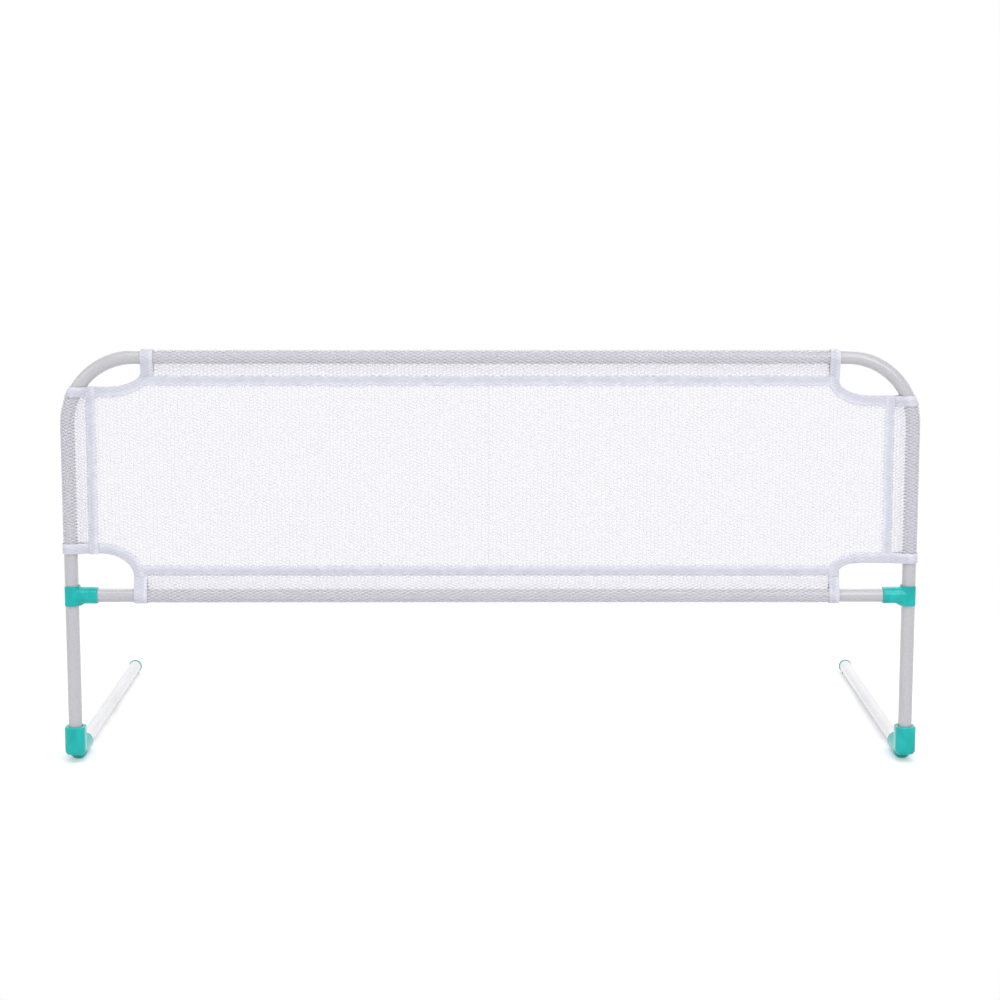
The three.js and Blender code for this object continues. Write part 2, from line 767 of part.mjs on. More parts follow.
// The four hem tapes: level ones run through, upright ones end between them
function hemTapes(sleeves) {
  const outer = halfSpacing - hemReach - fitGap;
  const inner = outer - hemTapeWidth;
  const low = crossTubeHeight + hemReach + fitGap;
  const high = topTubeHeight - hemReach - fitGap;
  const strip = (x0, z0, x1, z1) => hemTape(new THREE.Vector2(x0, z0), new THREE.Vector2(x1, z1), sleeves);
  const between = [low + hemTapeWidth + fitGap, high - hemTapeWidth - fitGap];
  return {
    top_hem_tape: strip(-outer, high - hemTapeWidth, outer, high),
    bottom_hem_tape: strip(-outer, low, outer, low + hemTapeWidth),
    left_hem_tape: strip(-outer, between[0], -inner, between[1]),
    right_hem_tape: strip(inner, between[0], outer, between[1]),
  };
}

// Bands of binding round the two sleeve ends at a corner, grown all round
function sleeveBands(notch, growth) {
  const skin = fitGap + bindingThickness + growth;
  const { side, upper } = notch;
  const tubeHeight = upper > 0 ? topTubeHeight : crossTubeHeight;
  const reach = bindingWidth + growth;
  const across = [side * notch.edgeX, side * (notch.edgeX - reach)].sort((a, b) => a - b);
  const up = [notch.edgeHeight, notch.edgeHeight - upper * reach].sort((a, b) => a - b);
  return [levelSleeve(tubeHeight, -upper, across[0], across[1], skin), sideSleeve(side, up[0], up[1], skin)];
}

// Binding of a cut-out corner: its two bands and a folded strip along the curve between them
function binding(notch, cutters) {
  const thickness = 2 * (layerOffset + bindingThickness);
  const fold = solid(slab(notchOutline(notch, bindingWidth), thickness))
    .intersect(solid(slab(panelRectangle(fitGap + bindingThickness), thickness + overrun)))
    .subtract(notchCutter(notch, -bindingThickness));
  const room = solid(slab(panelRectangle(fitGap), 2 * layerOffset)).subtract(notchCutter(notch, 0));
  return cutBy(joined([...sleeveBands(notch, 0), fold]), [...cutters, room]);
}

// Everything that turns with one leg, about the upright's axis
function legGroup(inward) {
  const side = inward > 0 ? 'left' : 'right';
  const group = new THREE.Group();
  group.add(piece(`${side}_elbow`, elbow(inward), tealPlastic));
  group.add(piece(`${side}_leg_tube`, legTube(inward), whitePaint));
  group.add(piece(`${side}_leg_cap`, legCap(), tealPlastic));
  group.add(piece(`${side}_leg_screw`, legScrew(inward), zincSteel));
  group.position.x = -inward * halfSpacing;
  return group;
}

// Pieces in the foot of an upright that hold the elbow on and let it turn
function swivelGroup(inward) {
  const side = inward > 0 ? 'left' : 'right';
  const group = new THREE.Group();
  group.add(piece(`${side}_upright_plug`, uprightPlug(), greyPlastic));
  group.add(piece(`${side}_swivel_screw`, swivelScrew(), zincSteel));
  group.add(piece(`${side}_swivel_washer`, swivelWasher(), zincSteel));
  group.position.x = -inward * halfSpacing;
  return group;
}

// Tee with the two screws in its back
function teeGroup(inward) {
  const side = inward > 0 ? 'left' : 'right';
  const group = new THREE.Group();
  group.add(piece(`${side}_tee`, tee(inward), tealPlastic));
  group.add(piece(`${side}_tee_upright_screw`, solid(tappingScrew(saddleRadius)), zincSteel));
  const armScrew = piece(`${side}_tee_arm_screw`, solid(tappingScrew(armRadius)), zincSteel);
  armScrew.position.x = inward * armScrewReach;
  group.add(armScrew);
  group.position.set(-inward * halfSpacing, 0, crossTubeHeight);
  return group;
}

// Net cover: four sleeves on the tubes, the panel between them, its tapes and corner bindings
function coverGroup() {
  const group = new THREE.Group();
  const end = halfSpacing - notchLength;
  const formed = (growth) => [
    levelSleeve(topTubeHeight, -1, -end, end, growth),
    levelSleeve(crossTubeHeight, 1, -end, end, growth),
    sideSleeve(-1, sideEnds(-1).low, sideEnds(-1).high, growth),
    sideSleeve(1, sideEnds(1).low, sideEnds(1).high, growth),
  ];
  const hollows = [
    levelHollow(topTubeHeight, -1, end),
    levelHollow(crossTubeHeight, 1, end),
    sideHollow(-1, sideEnds(-1).low, sideEnds(-1).high),
    sideHollow(1, sideEnds(1).low, sideEnds(1).high),
  ];
  const spaced = formed(fitGap);
  formed(0).forEach((form, i) => {
    const name = ['top_sleeve', 'bottom_sleeve', 'left_sleeve', 'right_sleeve'][i];
    group.add(piece(name, form.subtract(hollows[i]), netFabric));
  });
  group.add(piece('net_panel', netPanel(spaced), netFabric));
  for (const [name, tape] of Object.entries(hemTapes(spaced))) group.add(piece(name, tape, tapeFabric));
  for (const notch of notches) {
    const name = `${notch.upper > 0 ? 'top' : 'bottom'}_${notch.side < 0 ? 'left' : 'right'}_binding`;
    group.add(piece(name, binding(notch, [...spaced, ...hollows]), tapeFabric));
  }
  return group;
}

// The whole rail, set so that the middle of its footprint is the origin
const assembly = new THREE.Group();
assembly.add(piece('frame_tube', frameTube(), paint));
const cross = piece('cross_tube', crossTube(), paint);
cross.position.z = crossTubeHeight;
assembly.add(cross);
for (const inward of [1, -1]) {
  assembly.add(teeGroup(inward), legGroup(inward), swivelGroup(inward));
}
assembly.add(coverGroup());
assembly.position.y = (elbowWidth - overallDepth) / 2;

const guardRail = new THREE.Group();
guardRail.add(assembly);

export default guardRail;
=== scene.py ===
# %% [markdown]
# # A folding bed guard rail
# The rail stands beside a child's bed: a bent steel frame, a white net cover sleeved over its
# tubes, two turquoise tees that carry the lower tube, and two legs that slide under the mattress.
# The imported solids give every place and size. This lesson builds the fine meshes and finishes
# round them.

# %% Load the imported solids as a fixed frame
import math
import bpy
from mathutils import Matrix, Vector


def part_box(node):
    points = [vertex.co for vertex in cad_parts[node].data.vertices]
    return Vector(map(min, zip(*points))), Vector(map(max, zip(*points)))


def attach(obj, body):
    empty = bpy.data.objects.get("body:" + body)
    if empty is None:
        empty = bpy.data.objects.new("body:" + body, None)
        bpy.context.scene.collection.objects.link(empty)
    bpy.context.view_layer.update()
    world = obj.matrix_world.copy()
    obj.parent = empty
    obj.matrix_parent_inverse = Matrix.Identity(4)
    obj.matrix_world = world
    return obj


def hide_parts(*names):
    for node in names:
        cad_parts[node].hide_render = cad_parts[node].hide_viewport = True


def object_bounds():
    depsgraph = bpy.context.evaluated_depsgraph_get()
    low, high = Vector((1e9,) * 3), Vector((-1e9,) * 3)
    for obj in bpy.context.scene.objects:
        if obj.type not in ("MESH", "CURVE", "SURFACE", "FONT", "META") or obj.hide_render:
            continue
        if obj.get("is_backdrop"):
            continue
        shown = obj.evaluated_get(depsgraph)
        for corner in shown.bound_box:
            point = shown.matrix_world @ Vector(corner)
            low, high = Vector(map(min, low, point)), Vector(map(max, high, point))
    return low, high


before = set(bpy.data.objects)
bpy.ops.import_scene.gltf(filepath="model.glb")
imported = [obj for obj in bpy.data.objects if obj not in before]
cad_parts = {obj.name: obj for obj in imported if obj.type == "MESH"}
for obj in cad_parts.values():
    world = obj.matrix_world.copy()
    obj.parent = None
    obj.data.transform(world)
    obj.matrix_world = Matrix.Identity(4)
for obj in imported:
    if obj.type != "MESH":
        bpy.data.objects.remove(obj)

from types import SimpleNamespace

import bpy
import numpy as np
from mathutils import Matrix, Vector

cad_low, cad_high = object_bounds()

# %% [markdown]
# ## Measures
# Whatever the frame can tell is read from it, so a new pack moves the fine pieces along with the
# solids. Wall thicknesses and other hidden sizes can't be read from a box, so they are named in
# millimetres where they are used.

# %% Where the tubes run
mm = 0.001
tube_low, tube_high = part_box("frame_tube")
tube_radius = (tube_high.y - tube_low.y) / 2
rail_plane = (tube_high.y + tube_low.y) / 2
upright_x = tube_high.x - tube_radius
top_height = tube_high.z - tube_radius
cross_low, cross_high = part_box("cross_tube")
cross_height = (cross_low.z + cross_high.z) / 2
tube_wall = 1.2 * mm
corner_radius = 78.5 * mm
SIDES = ((-1, "left"), (1, "right"))
bend_height = top_height - corner_radius
print("tube radius", round(tube_radius / mm, 2), "uprights at", round(upright_x / mm, 1), "mm")

# %% [markdown]
# ## Mesh tools
# Nearly every piece here is a skin drawn through rings: a tube, a turned screw, a ribbon or a
# band of tape. One function joins rings of equal length, open with a cap at each end or looped
# round like a bent tube. It also writes a map in metres along and around the skin, which the
# woven finishes read.

# %% Skins through rings
SMOOTH_ANGLE = math.radians(38)
CLOTH_MAP = "cloth"


def add_object(name, data):
    """An object in the scene for a mesh, a camera or a lamp."""
    made = bpy.data.objects.new(name, data)
    bpy.context.scene.collection.objects.link(made)
    return made


def add_mesh(name, vertices, faces, sharp=SMOOTH_ANGLE):
    """A smooth-shaded mesh object whose edges above the sharp angle stay crisp."""
    mesh = bpy.data.meshes.new(name)
    mesh.from_pydata(vertices, [], faces)
    mesh.shade_smooth()
    if sharp:
        mesh.set_sharp_from_angle(angle=sharp)
    return add_object(name, mesh)


def read_values(items, key, width=1, kind=float):
    """One property of all of a mesh's parts, as an array with a row for each."""
    values = np.zeros(len(items) * width, kind)
    items.foreach_get(key, values)
    return values.reshape(-1, width)


def write_map(mesh, name, places):
    """A map that gives each corner of each face its flat place."""
    layer = mesh.uv_layers.new(name=name, do_init=False)
    layer.uv.foreach_set("vector", places.astype(np.float32).ravel())


def face_outwards(mesh):
    """Turns a closed mesh's faces over if its signed volume shows that they look inwards."""
    mesh.calc_loop_triangles()
    corners = read_values(mesh.loop_triangles, "vertices", 3, int)
    a, b, c = read_values(mesh.vertices, "co", 3)[corners].transpose(1, 0, 2)
    if (a * np.cross(b, c)).sum() < 0:
        mesh.flip_normals()


def ring_quads(rows):
    """Quads between the rows of an index grid, each row a closed ring."""
    ahead = np.roll(rows, -1, axis=1)
    return np.stack([rows[:-1], ahead[:-1], ahead[1:], rows[1:]], axis=-1).reshape(-1, 4)


def distances(points):
    """Distance along a run of points, from its first one."""
    steps = np.linalg.norm(np.diff(points, axis=0), axis=1)
    return np.concatenate([[0], np.cumsum(steps)])


def read_along(spots, travelled, values):
    """Rows of values along a line, read at several distances from its start."""
    return np.stack([np.interp(spots, travelled, column) for column in values.T], axis=-1)


def skin(name, rings, looped=False):
    """A closed skin through rings of as many points each."""
    rings = np.asarray(rings, float)
    count, sides = rings.shape[:2]
    grid = np.arange(count * sides).reshape(count, sides)
    rows = np.vstack([grid, grid[:1]]) if looped else grid
    faces = ring_quads(rows).tolist()
    if not looped:
        faces += [grid[0][::-1].tolist(), grid[-1].tolist()]
    made = add_mesh(name, rings.reshape(-1, 3).tolist(), faces)
    map_skin(made.data, rings, len(rows))
    face_outwards(made.data)
    return made


def map_skin(mesh, rings, row_count):
    """Writes the distance along and around the rings to the cloth map."""
    along, around = (distances(np.vstack([run, run[:1]])) for run in (rings[:, 0], rings[0]))
    row, column = np.meshgrid(np.arange(row_count - 1), np.arange(rings.shape[1]), indexing="ij")
    rows = np.stack([row, row, row + 1, row + 1], axis=-1).ravel()
    columns = np.stack([column, column + 1, column + 1, column], axis=-1).ravel()
    places = np.zeros((len(mesh.loops), 2))
    places[: len(rows)] = np.stack([along[rows], around[columns]], axis=-1)
    write_map(mesh, CLOTH_MAP, places)


# %% Circles, turned bodies, prisms and tubes
TURN = 2 * math.pi
QUARTER = math.pi / 2
tube_sides = 64
rim_ease = 0.3 * mm


def circle(centre, across, over, radius, sides):
    """Points of a circle about a centre, spanned by two unit directions."""
    angles = np.arange(sides) * TURN / sides
    spokes = np.outer(np.cos(angles), across) + np.outer(np.sin(angles), over)
    return np.asarray(centre) + radius * spokes


def moved(piece, place=(0, 0, 0), turn=Matrix.Identity(4)):
    """A piece with its mesh turned and then shifted to a place."""
    piece.data.transform(Matrix.Translation(place) @ turn)
    return piece


def turned(name, profile, sides, looped=False):
    """A body turned about the Z axis from pairs of radius and height."""
    x, y = (1, 0, 0), (0, 1, 0)
    rings = [circle((0, 0, height), x, y, radius, sides) for radius, height in profile]
    return skin(name, rings, looped)


def prism(name, outline, low, high):
    """An upright prism over an outline of flat points."""
    return skin(name, [[(x, y, height) for x, y in outline] for height in (low, high)])


def block(name, low, high):
    """A box from its lowest to its highest corner."""
    outline = [(low[0], low[1]), (high[0], low[1]), (high[0], high[1]), (low[0], high[1])]
    return prism(name, outline, low[2], high[2])


def hollow_tube(name, centres, across, over):
    """A tube of the frame's section along centre points, with its two rims eased."""
    centres, across = np.asarray(centres, float), np.asarray(across, float)
    ahead = centres[1] - centres[0]
    back = centres[-2] - centres[-1]
    starts = rim_ease * ahead / np.linalg.norm(ahead)
    ends = rim_ease * back / np.linalg.norm(back)
    bore = tube_radius - tube_wall
    last = len(centres) - 1
    eased = tube_radius - rim_ease
    run = [(0, 0 * starts, eased), (0, starts, tube_radius)]
    run += [(i, 0 * starts, tube_radius) for i in range(1, last)]
    run += [(last, ends, tube_radius), (last, 0 * ends, eased)]
    run += [(i, 0 * ends, bore) for i in range(last, -1, -1)]
    rings = [circle(centres[i] + shift, across[i], over, r, tube_sides) for i, shift, r in run]
    return skin(name, rings, looped=True)


# %% [markdown]
# ## Carving
# A moulded fitting is forms joined together, less the bores. Boolean modifiers do exactly that,
# and their result is kept as a plain mesh. Tooling leaves no knife edges on plastic, so a fine
# voxel remesh and a few smoothing passes then round every edge and inner corner by about half a
# millimetre. Bevels would fail where the round arm runs into the saddle.

# %% Boolean carving, softened mouldings and dressing
def settle(piece):
    """Keeps a piece's modifiers as its plain mesh."""
    graph = bpy.context.evaluated_depsgraph_get()
    made = bpy.data.meshes.new_from_object(piece.evaluated_get(graph))
    piece.modifiers.clear()
    piece.data = made
    return piece


def carved(body, joins=(), cuts=()):
    """A body with other bodies joined to it and then cutters taken out of it."""
    tools = [("UNION", other) for other in joins] + [("DIFFERENCE", other) for other in cuts]
    for operation, other in tools:
        modifier = body.modifiers.new("carve", "BOOLEAN")
        modifier.operation = operation
        modifier.solver = "EXACT"
        modifier.object = other
    settle(body)
    for _, other in tools:
        bpy.data.objects.remove(other)
    return body


def softened(body, voxel, passes):
    """A moulding with its edges and inner corners rounded by remeshing and smoothing."""
    remesh = body.modifiers.new("mould", "REMESH")
    remesh.mode = "VOXEL"
    remesh.voxel_size = voxel
    remesh.use_smooth_shade = True
    ease = body.modifiers.new("ease", "SMOOTH")
    ease.factor = 0.5
    ease.iterations = passes
    return settle(body)


def give_finish(piece, finish):
    """Makes a finish the only one of a piece."""
    piece.data.materials.clear()
    piece.data.materials.append(finish)


def dress(piece, body, finish, *nodes, slot=None):
    """Gives a piece its finish, its body and the nodes it stands for; slot is not used."""
    give_finish(piece, finish)
    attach(piece, body)
    # The solids' own materials have these names already, so a finish has a number after its name.
    if nodes:
        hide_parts(*nodes)
    print(piece.name, len(piece.data.polygons), "faces")


# %% [markdown]
# ## Shader tools
# A finish is a shader tree. Effects that several finishes share are node groups with named
# sockets; they put out only masks, values and heights, and each finish keeps its own shader.

# %% Node helpers
def srgb(red, green, blue):
    """A colour as it is seen on screen, 0 to 255, in the linear values that shaders use."""
    full, knee, slope, offset, power = 255, 0.04045, 12.92, 0.055, 2.4
    shares = [value / full for value in (red, green, blue)]
    lit = [s / slope if s < knee else ((s + offset) / (1 + offset)) ** power for s in shares]
    return (*lit, 1)


def add_node(tree, kind, inputs=None, **settings):
    """A node with its settings made and its inputs linked or filled in."""
    made = tree.nodes.new(kind)
    for key, value in settings.items():
        setattr(made, key, value)
    for key, value in (inputs or {}).items():
        if isinstance(value, bpy.types.NodeSocket):
            tree.links.new(value, made.inputs[key])
        else:
            made.inputs[key].default_value = value
    return made


def maths(tree, operation, *values):
    """The result of a math node on one to three values."""
    return add_node(tree, "ShaderNodeMath", dict(enumerate(values)), operation=operation).outputs[0]


def between(tree, value, low, high, to_low=0.0, to_high=1.0):
    """A value spread from one range to another and clamped there."""
    sockets = {"Value": value, "From Min": low, "From Max": high}
    sockets |= {"To Min": to_low, "To Max": to_high}
    return add_node(tree, "ShaderNodeMapRange", sockets).outputs["Result"]


def own_place(tree):
    """The point that is shaded, in the piece's own space."""
    return add_node(tree, "ShaderNodeTexCoord").outputs["Object"]


def noise(tree, scale, detail, stretch=None, distortion=0):
    """Soft noise in a piece's own space, drawn out along an axis whose stretch is below 1."""
    place = own_place(tree)
    if stretch:
        place = add_node(tree, "ShaderNodeMapping", {"Vector": place, "Scale": stretch}).outputs[0]
    sockets = {"Vector": place, "Scale": scale, "Detail": detail, "Distortion": distortion}
    return add_node(tree, "ShaderNodeTexNoise", sockets).outputs[0]


def parts(tree, vector):
    """The X, Y and Z of a vector."""
    return add_node(tree, "ShaderNodeSeparateXYZ", {0: vector}).outputs


def cloth_place(tree):
    """Places along and across a piece, from its cloth map."""
    return parts(tree, add_node(tree, "ShaderNodeUVMap", uv_map=CLOTH_MAP).outputs[0])


def off_middle(tree, value):
    """A value about one half, measured from there."""
    return maths(tree, "SUBTRACT", value, 0.5)


def shade_round(tree, value, change):
    """A shade round 1 that follows a value about one half."""
    return maths(tree, "MULTIPLY_ADD", off_middle(tree, value), change, 1)


def blended(tree, share, first, second, how="MIX"):
    """Two colours mixed by a share."""
    sockets = {"Factor": share, 6: first, 7: second}
    return add_node(tree, "ShaderNodeMix", sockets, data_type="RGBA", blend_type=how).outputs[2]


def shaded(tree, colour, shade):
    """A colour made lighter or darker by a shade round 1."""
    grey = add_node(tree, "ShaderNodeCombineColor", dict.fromkeys(range(3), shade)).outputs[0]
    return blended(tree, 1.0, colour, grey, how="MULTIPLY")


FLOAT = "NodeSocketFloat"


def make_group(name, draw, **inputs):
    """A shader group with named sockets. draw makes its inside and gives each output's value."""
    tree = bpy.data.node_groups.new(name, "ShaderNodeTree")
    for key, value in inputs.items():
        label = key.replace("_", " ")
        socket = tree.interface.new_socket(name=label, in_out="INPUT", socket_type=FLOAT)
        socket.default_value = value
    made = draw(tree, tree.nodes.new("NodeGroupInput").outputs)
    for label in made:
        tree.interface.new_socket(name=label, in_out="OUTPUT", socket_type=FLOAT)
    add_node(tree, "NodeGroupOutput", made)
    return tree


def use_group(tree, group, **values):
    """A group placed in a finish with its own values; underscores in the names stand for spaces."""
    inputs = {key.replace("_", " "): value for key, value in values.items()}
    return add_node(tree, "ShaderNodeGroup", inputs, node_tree=group).outputs


# %% [markdown]
# ### Handling marks
# Every part of a rail gets handled, slid along the floor and packed away. Fine scuffs are long
# thin noise that only shows where a broad noise allows it, so the marks come in patches, as on
# the real thing.

# %% Group: handling marks
def draw_marks(tree, given):
    """Fine scuffs in patches."""
    scratch = noise(tree, given["Scratch Scale"], detail=6, stretch=(1, 1, 0.12))
    patch = noise(tree, given["Patch Scale"], detail=2)
    thin = between(tree, scratch, low=0.6, high=0.72)
    where = between(tree, patch, low=0.45, high=0.65)
    marks = maths(tree, "MULTIPLY", thin, where)
    return {"Mask": maths(tree, "MULTIPLY", marks, given["Amount"])}


marks_inputs = {"Scratch_Scale": 90, "Patch_Scale": 9, "Amount": 0.5}
handling_marks = make_group("handling_marks", draw_marks, **marks_inputs)


# %% [markdown]
# ### Settled dust
# A little dust rests on whatever faces up. The mask takes the upward part of the surface's normal
# and breaks it up with noise.

# %% Group: settled dust
def draw_dust(tree, given):
    """Dust on upward faces."""
    up = parts(tree, add_node(tree, "ShaderNodeNewGeometry").outputs["Normal"])["Z"]
    cloud = noise(tree, scale=60, detail=5)
    facing, patchy = between(tree, up, low=0.3, high=1), between(tree, cloud, low=0.35, high=0.7)
    broken = maths(tree, "MULTIPLY", facing, patchy)
    return {"Mask": maths(tree, "MULTIPLY", broken, given["Amount"])}


settled_dust = make_group("settled_dust", draw_dust, Amount=0.3)


# %% [markdown]
# ### Powder coat
# Powder paint flows out into a fine orange peel about a millimetre wide. The group gives that as
# a height, a slow change of shade where the coat is thicker with fine specks in it, and a
# roughness that follows the peel.

# %% Group: powder coat
peel_roughness = 0.25


def draw_powder_coat(tree, given):
    """Orange peel with its roughness, and a shade with specks."""
    peel = noise(tree, given["Peel Scale"], detail=2)
    slow = shade_round(tree, noise(tree, scale=14, detail=3), given["Shade Change"])
    specks = maths(tree, "MULTIPLY", off_middle(tree, peel), given["Speckle"])
    change = maths(tree, "MULTIPLY", off_middle(tree, peel), peel_roughness)
    rough = maths(tree, "ADD", given["Roughness"], change)
    return {"Height": peel, "Roughness": rough, "Shade": maths(tree, "ADD", slow, specks)}


coat_inputs = {"Peel_Scale": 900, "Roughness": 0.4, "Shade_Change": 0.04, "Speckle": 0}
powder_coat = make_group("powder_coat", draw_powder_coat, **coat_inputs)


# %% [markdown]
# ### Moulded flow
# Injected plastic keeps a trace of how it flowed: soft clouds in the colour, drawn out along the
# part, and a skin that isn't perfectly flat. It catches long, slightly wavering highlights.

# %% Group: moulded flow
grain_height = 0.15


def draw_moulded_flow(tree, given):
    """Drawn-out clouds, with a fine grain on their height."""
    flow = noise(tree, given["Flow Scale"], detail=3, stretch=(1, 1, 0.4), distortion=0.6)
    grain = noise(tree, scale=2500, detail=2)
    height = maths(tree, "MULTIPLY_ADD", grain, grain_height, flow)
    return {"Height": height, "Shade": shade_round(tree, flow, given["Shade Change"])}


moulded_flow = make_group("moulded_flow", draw_moulded_flow, Flow_Scale=70, Shade_Change=0.12)


# %% [markdown]
# ### Plain weave
# Tape and binding are plain woven: each thread passes over one and under the next. Two sets of
# waves whose product changes sign from thread to thread draw that, read from the cloth map so
# that the threads follow the tape round the tubes and corners. The shade that follows the height
# is painted shade: darker in the hollows of the weave, lighter where threads ride on top.

# %% Group: plain weave
rib_height = 0.35


def wave(tree, operation, place, width, half_turns):
    """A sine or cosine that makes so many half turns over each width."""
    turns = maths(tree, "DIVIDE", place, width)
    return maths(tree, operation, maths(tree, "MULTIPLY", turns, half_turns * math.pi))


def draw_plain_weave(tree, given):
    """Threads that pass over and under each other."""
    place = cloth_place(tree)
    along, across = (wave(tree, "SINE", place[axis], given["Thread Width"], 1) for axis in "XY")
    crossing = maths(tree, "MULTIPLY", along, across)
    ribs = maths(tree, "ADD", maths(tree, "ABSOLUTE", along), maths(tree, "ABSOLUTE", across))
    low_ribs = maths(tree, "MULTIPLY", ribs, rib_height)
    height = maths(tree, "ADD", maths(tree, "ABSOLUTE", crossing), low_ribs)
    # The shade is painted shade, darker where the weave is low.
    return {"Height": height, "Shade": shade_round(tree, height, given["Shade Change"])}


plain_weave = make_group("plain_weave", draw_plain_weave, Thread_Width=0.0005, Shade_Change=0.1)


# %% [markdown]
# ### Net under the tape
# The net sewn under a thin tape shows through it as painted shade: the product of two waves, as
# long and as high as the net's cells, peaks at every hole of its staggered rows, where the tape is
# lighter.

# %% Group: net rows shading
def draw_net_rows_shading(tree, given):
    """A shade that peaks over each hole of the net."""
    place = parts(tree, own_place(tree))
    along = wave(tree, "COSINE", place["X"], given["Cell Length"], 2)
    up = wave(tree, "COSINE", place["Z"], given["Cell Height"], 2)
    cells = maths(tree, "MULTIPLY", along, up)
    return {"Shade": maths(tree, "MULTIPLY_ADD", cells, given["Shade Change"], 1)}


net_rows_shading_inputs = {"Cell_Length": 0.0088, "Cell_Height": 0.0039, "Shade_Change": 0.1}
net_imprint = make_group("net_imprint", draw_net_rows_shading, **net_rows_shading_inputs)


# %% [markdown]
# ### Spun yarn
# The net and the sewing thread are bundles of filaments. Noise drawn out along the cloth gives
# their fine streaks, and a broader one the slight difference from strand to strand.

# %% Group: spun yarn
def draw_spun_yarn(tree, given):
    """Filament streaks, and a shade for each strand."""
    filament = noise(tree, given["Filament Scale"], detail=2, stretch=(0.25, 1, 1))
    strand = noise(tree, scale=130, detail=2)
    return {"Height": filament, "Shade": shade_round(tree, strand, given["Shade Change"])}


spun_yarn = make_group("spun_yarn", draw_spun_yarn, Filament_Scale=2600, Shade_Change=0.08)


# %% [markdown]
# ## Finishes
# Each finish starts from one shader with its steady values set on its own sockets. What changes
# over the surface comes from the groups: colour with its shade, marks and dust, roughness, and a
# height for the bump.

# %% Starting and ending a finish
def start_finish(name, steady):
    """A material with one Principled shader, its steady values set on its sockets."""
    finish = bpy.data.materials.new(name)
    finish.use_nodes = True
    tree = finish.node_tree
    shader = tree.nodes["Principled BSDF"]
    for key, value in steady.items():
        shader.inputs[key].default_value = value
    return finish, tree, shader


def end_finish(tree, shader, colour, rough, height, strength, depth):
    """Links a colour, a roughness and a bump, which is so many metres deep at full strength."""
    sockets = {"Height": height, "Strength": strength, "Distance": depth}
    bump = add_node(tree, "ShaderNodeBump", sockets)
    links = {"Base Color": colour, "Roughness": rough, "Normal": bump.outputs[0]}
    for key, value in links.items():
        tree.links.new(value, shader.inputs[key])


dust_colour = srgb(196, 192, 186)


def worn(tree, colour, shade, marks, rubbed, dust=None):
    """A shaded colour, rubbed where the marks are, under dust."""
    bare = blended(tree, marks, shaded(tree, colour, shade), rubbed)
    return blended(tree, dust, bare, dust_colour) if dust else bare


# %% [markdown]
# ### Painted steel
# The frame is light grey powder coat. The legs carry the same coat, painted lighter for the light
# that falls along them from above. Scuffs dull the paint a little in colour and in gloss; dust on
# top makes it rougher.

# %% Finishes: grey and white paint
dusty_paint, scuffed_paint = 0.6, 0.15


def make_paint(name, colour, scuffed, roughness):
    """Powder-coated steel of one colour."""
    steady = {"Specular IOR Level": 0.3, "Coat Weight": 0.7, "Coat Roughness": 0.07}
    finish, tree, shader = start_finish(name, steady)
    coat = use_group(
        tree, powder_coat, Peel_Scale=900, Roughness=roughness, Shade_Change=0.12, Speckle=0.4
    )
    marks = use_group(tree, handling_marks, Scratch_Scale=220, Patch_Scale=12, Amount=0.3)["Mask"]
    dust = use_group(tree, settled_dust, Amount=0.12)["Mask"]
    rough = maths(tree, "ADD", coat["Roughness"], maths(tree, "MULTIPLY", dust, dusty_paint))
    rough = maths(tree, "ADD", rough, maths(tree, "MULTIPLY", marks, scuffed_paint))
    mixed = worn(tree, colour, coat["Shade"], marks, scuffed, dust)
    end_finish(tree, shader, mixed, rough, coat["Height"], strength=0.35, depth=0.05 * mm)
    return finish


grey_paint = make_paint("grey_paint", srgb(184, 183, 188), srgb(166, 164, 166), 0.24)
# The legs' copy of the coat is painted lighter, for the light that falls on them from above.
white_paint = make_paint("white_paint", srgb(226, 226, 230), srgb(205, 204, 206), 0.34)


# %% [markdown]
# ### Moulded plastic
# The fittings are glossy turquoise, the hidden plugs plain grey. The colour clouds slightly where
# the plastic flowed, and the rubbed places are finely matted.

# %% Finishes: turquoise and grey plastic
dusty_plastic, rubbed_plastic = 0.5, 0.3


def make_plastic(name, colour, rubbed, roughness):
    """Injection-moulded plastic of one colour."""
    steady = {"Specular IOR Level": 0.1, "Coat Weight": 0.5, "Coat Roughness": 0.08}
    finish, tree, shader = start_finish(name, steady)
    flow = use_group(tree, moulded_flow, Flow_Scale=75, Shade_Change=0.7)
    marks = use_group(tree, handling_marks, Scratch_Scale=320, Patch_Scale=35, Amount=0.5)["Mask"]
    dust = use_group(tree, settled_dust, Amount=0.12)["Mask"]
    rough = maths(tree, "MULTIPLY_ADD", marks, rubbed_plastic, roughness)
    rough = maths(tree, "ADD", rough, maths(tree, "MULTIPLY", dust, dusty_plastic))
    mixed = worn(tree, colour, flow["Shade"], marks, rubbed, dust)
    end_finish(tree, shader, mixed, rough, flow["Height"], strength=0.4, depth=0.12 * mm)
    return finish


teal_plastic = make_plastic("teal_plastic", srgb(2, 172, 168), srgb(50, 188, 183), 0.3)
grey_plastic = make_plastic("grey_plastic", srgb(150, 152, 155), srgb(172, 173, 175), 0.5)


# %% [markdown]
# ### Zinc-plated steel
# The screws and washers are bright zinc, slightly blue and mottled where the plating took
# differently.

# %% Finish: zinc
def make_zinc():
    """Zinc-plated steel."""
    finish, tree, shader = start_finish("zinc_steel", {"Metallic": 1.0})
    coat = use_group(tree, powder_coat, Peel_Scale=1800, Roughness=0.33, Shade_Change=0.25)
    marks = use_group(tree, handling_marks, Scratch_Scale=500, Patch_Scale=60, Amount=0.7)["Mask"]
    bright, dull = srgb(196, 199, 206), srgb(150, 150, 152)
    mixed = worn(tree, bright, coat["Shade"], marks, dull)
    height = coat["Height"]
    end_finish(tree, shader, mixed, coat["Roughness"], height, strength=0.3, depth=0.04 * mm)
    return finish


zinc_steel = make_zinc()
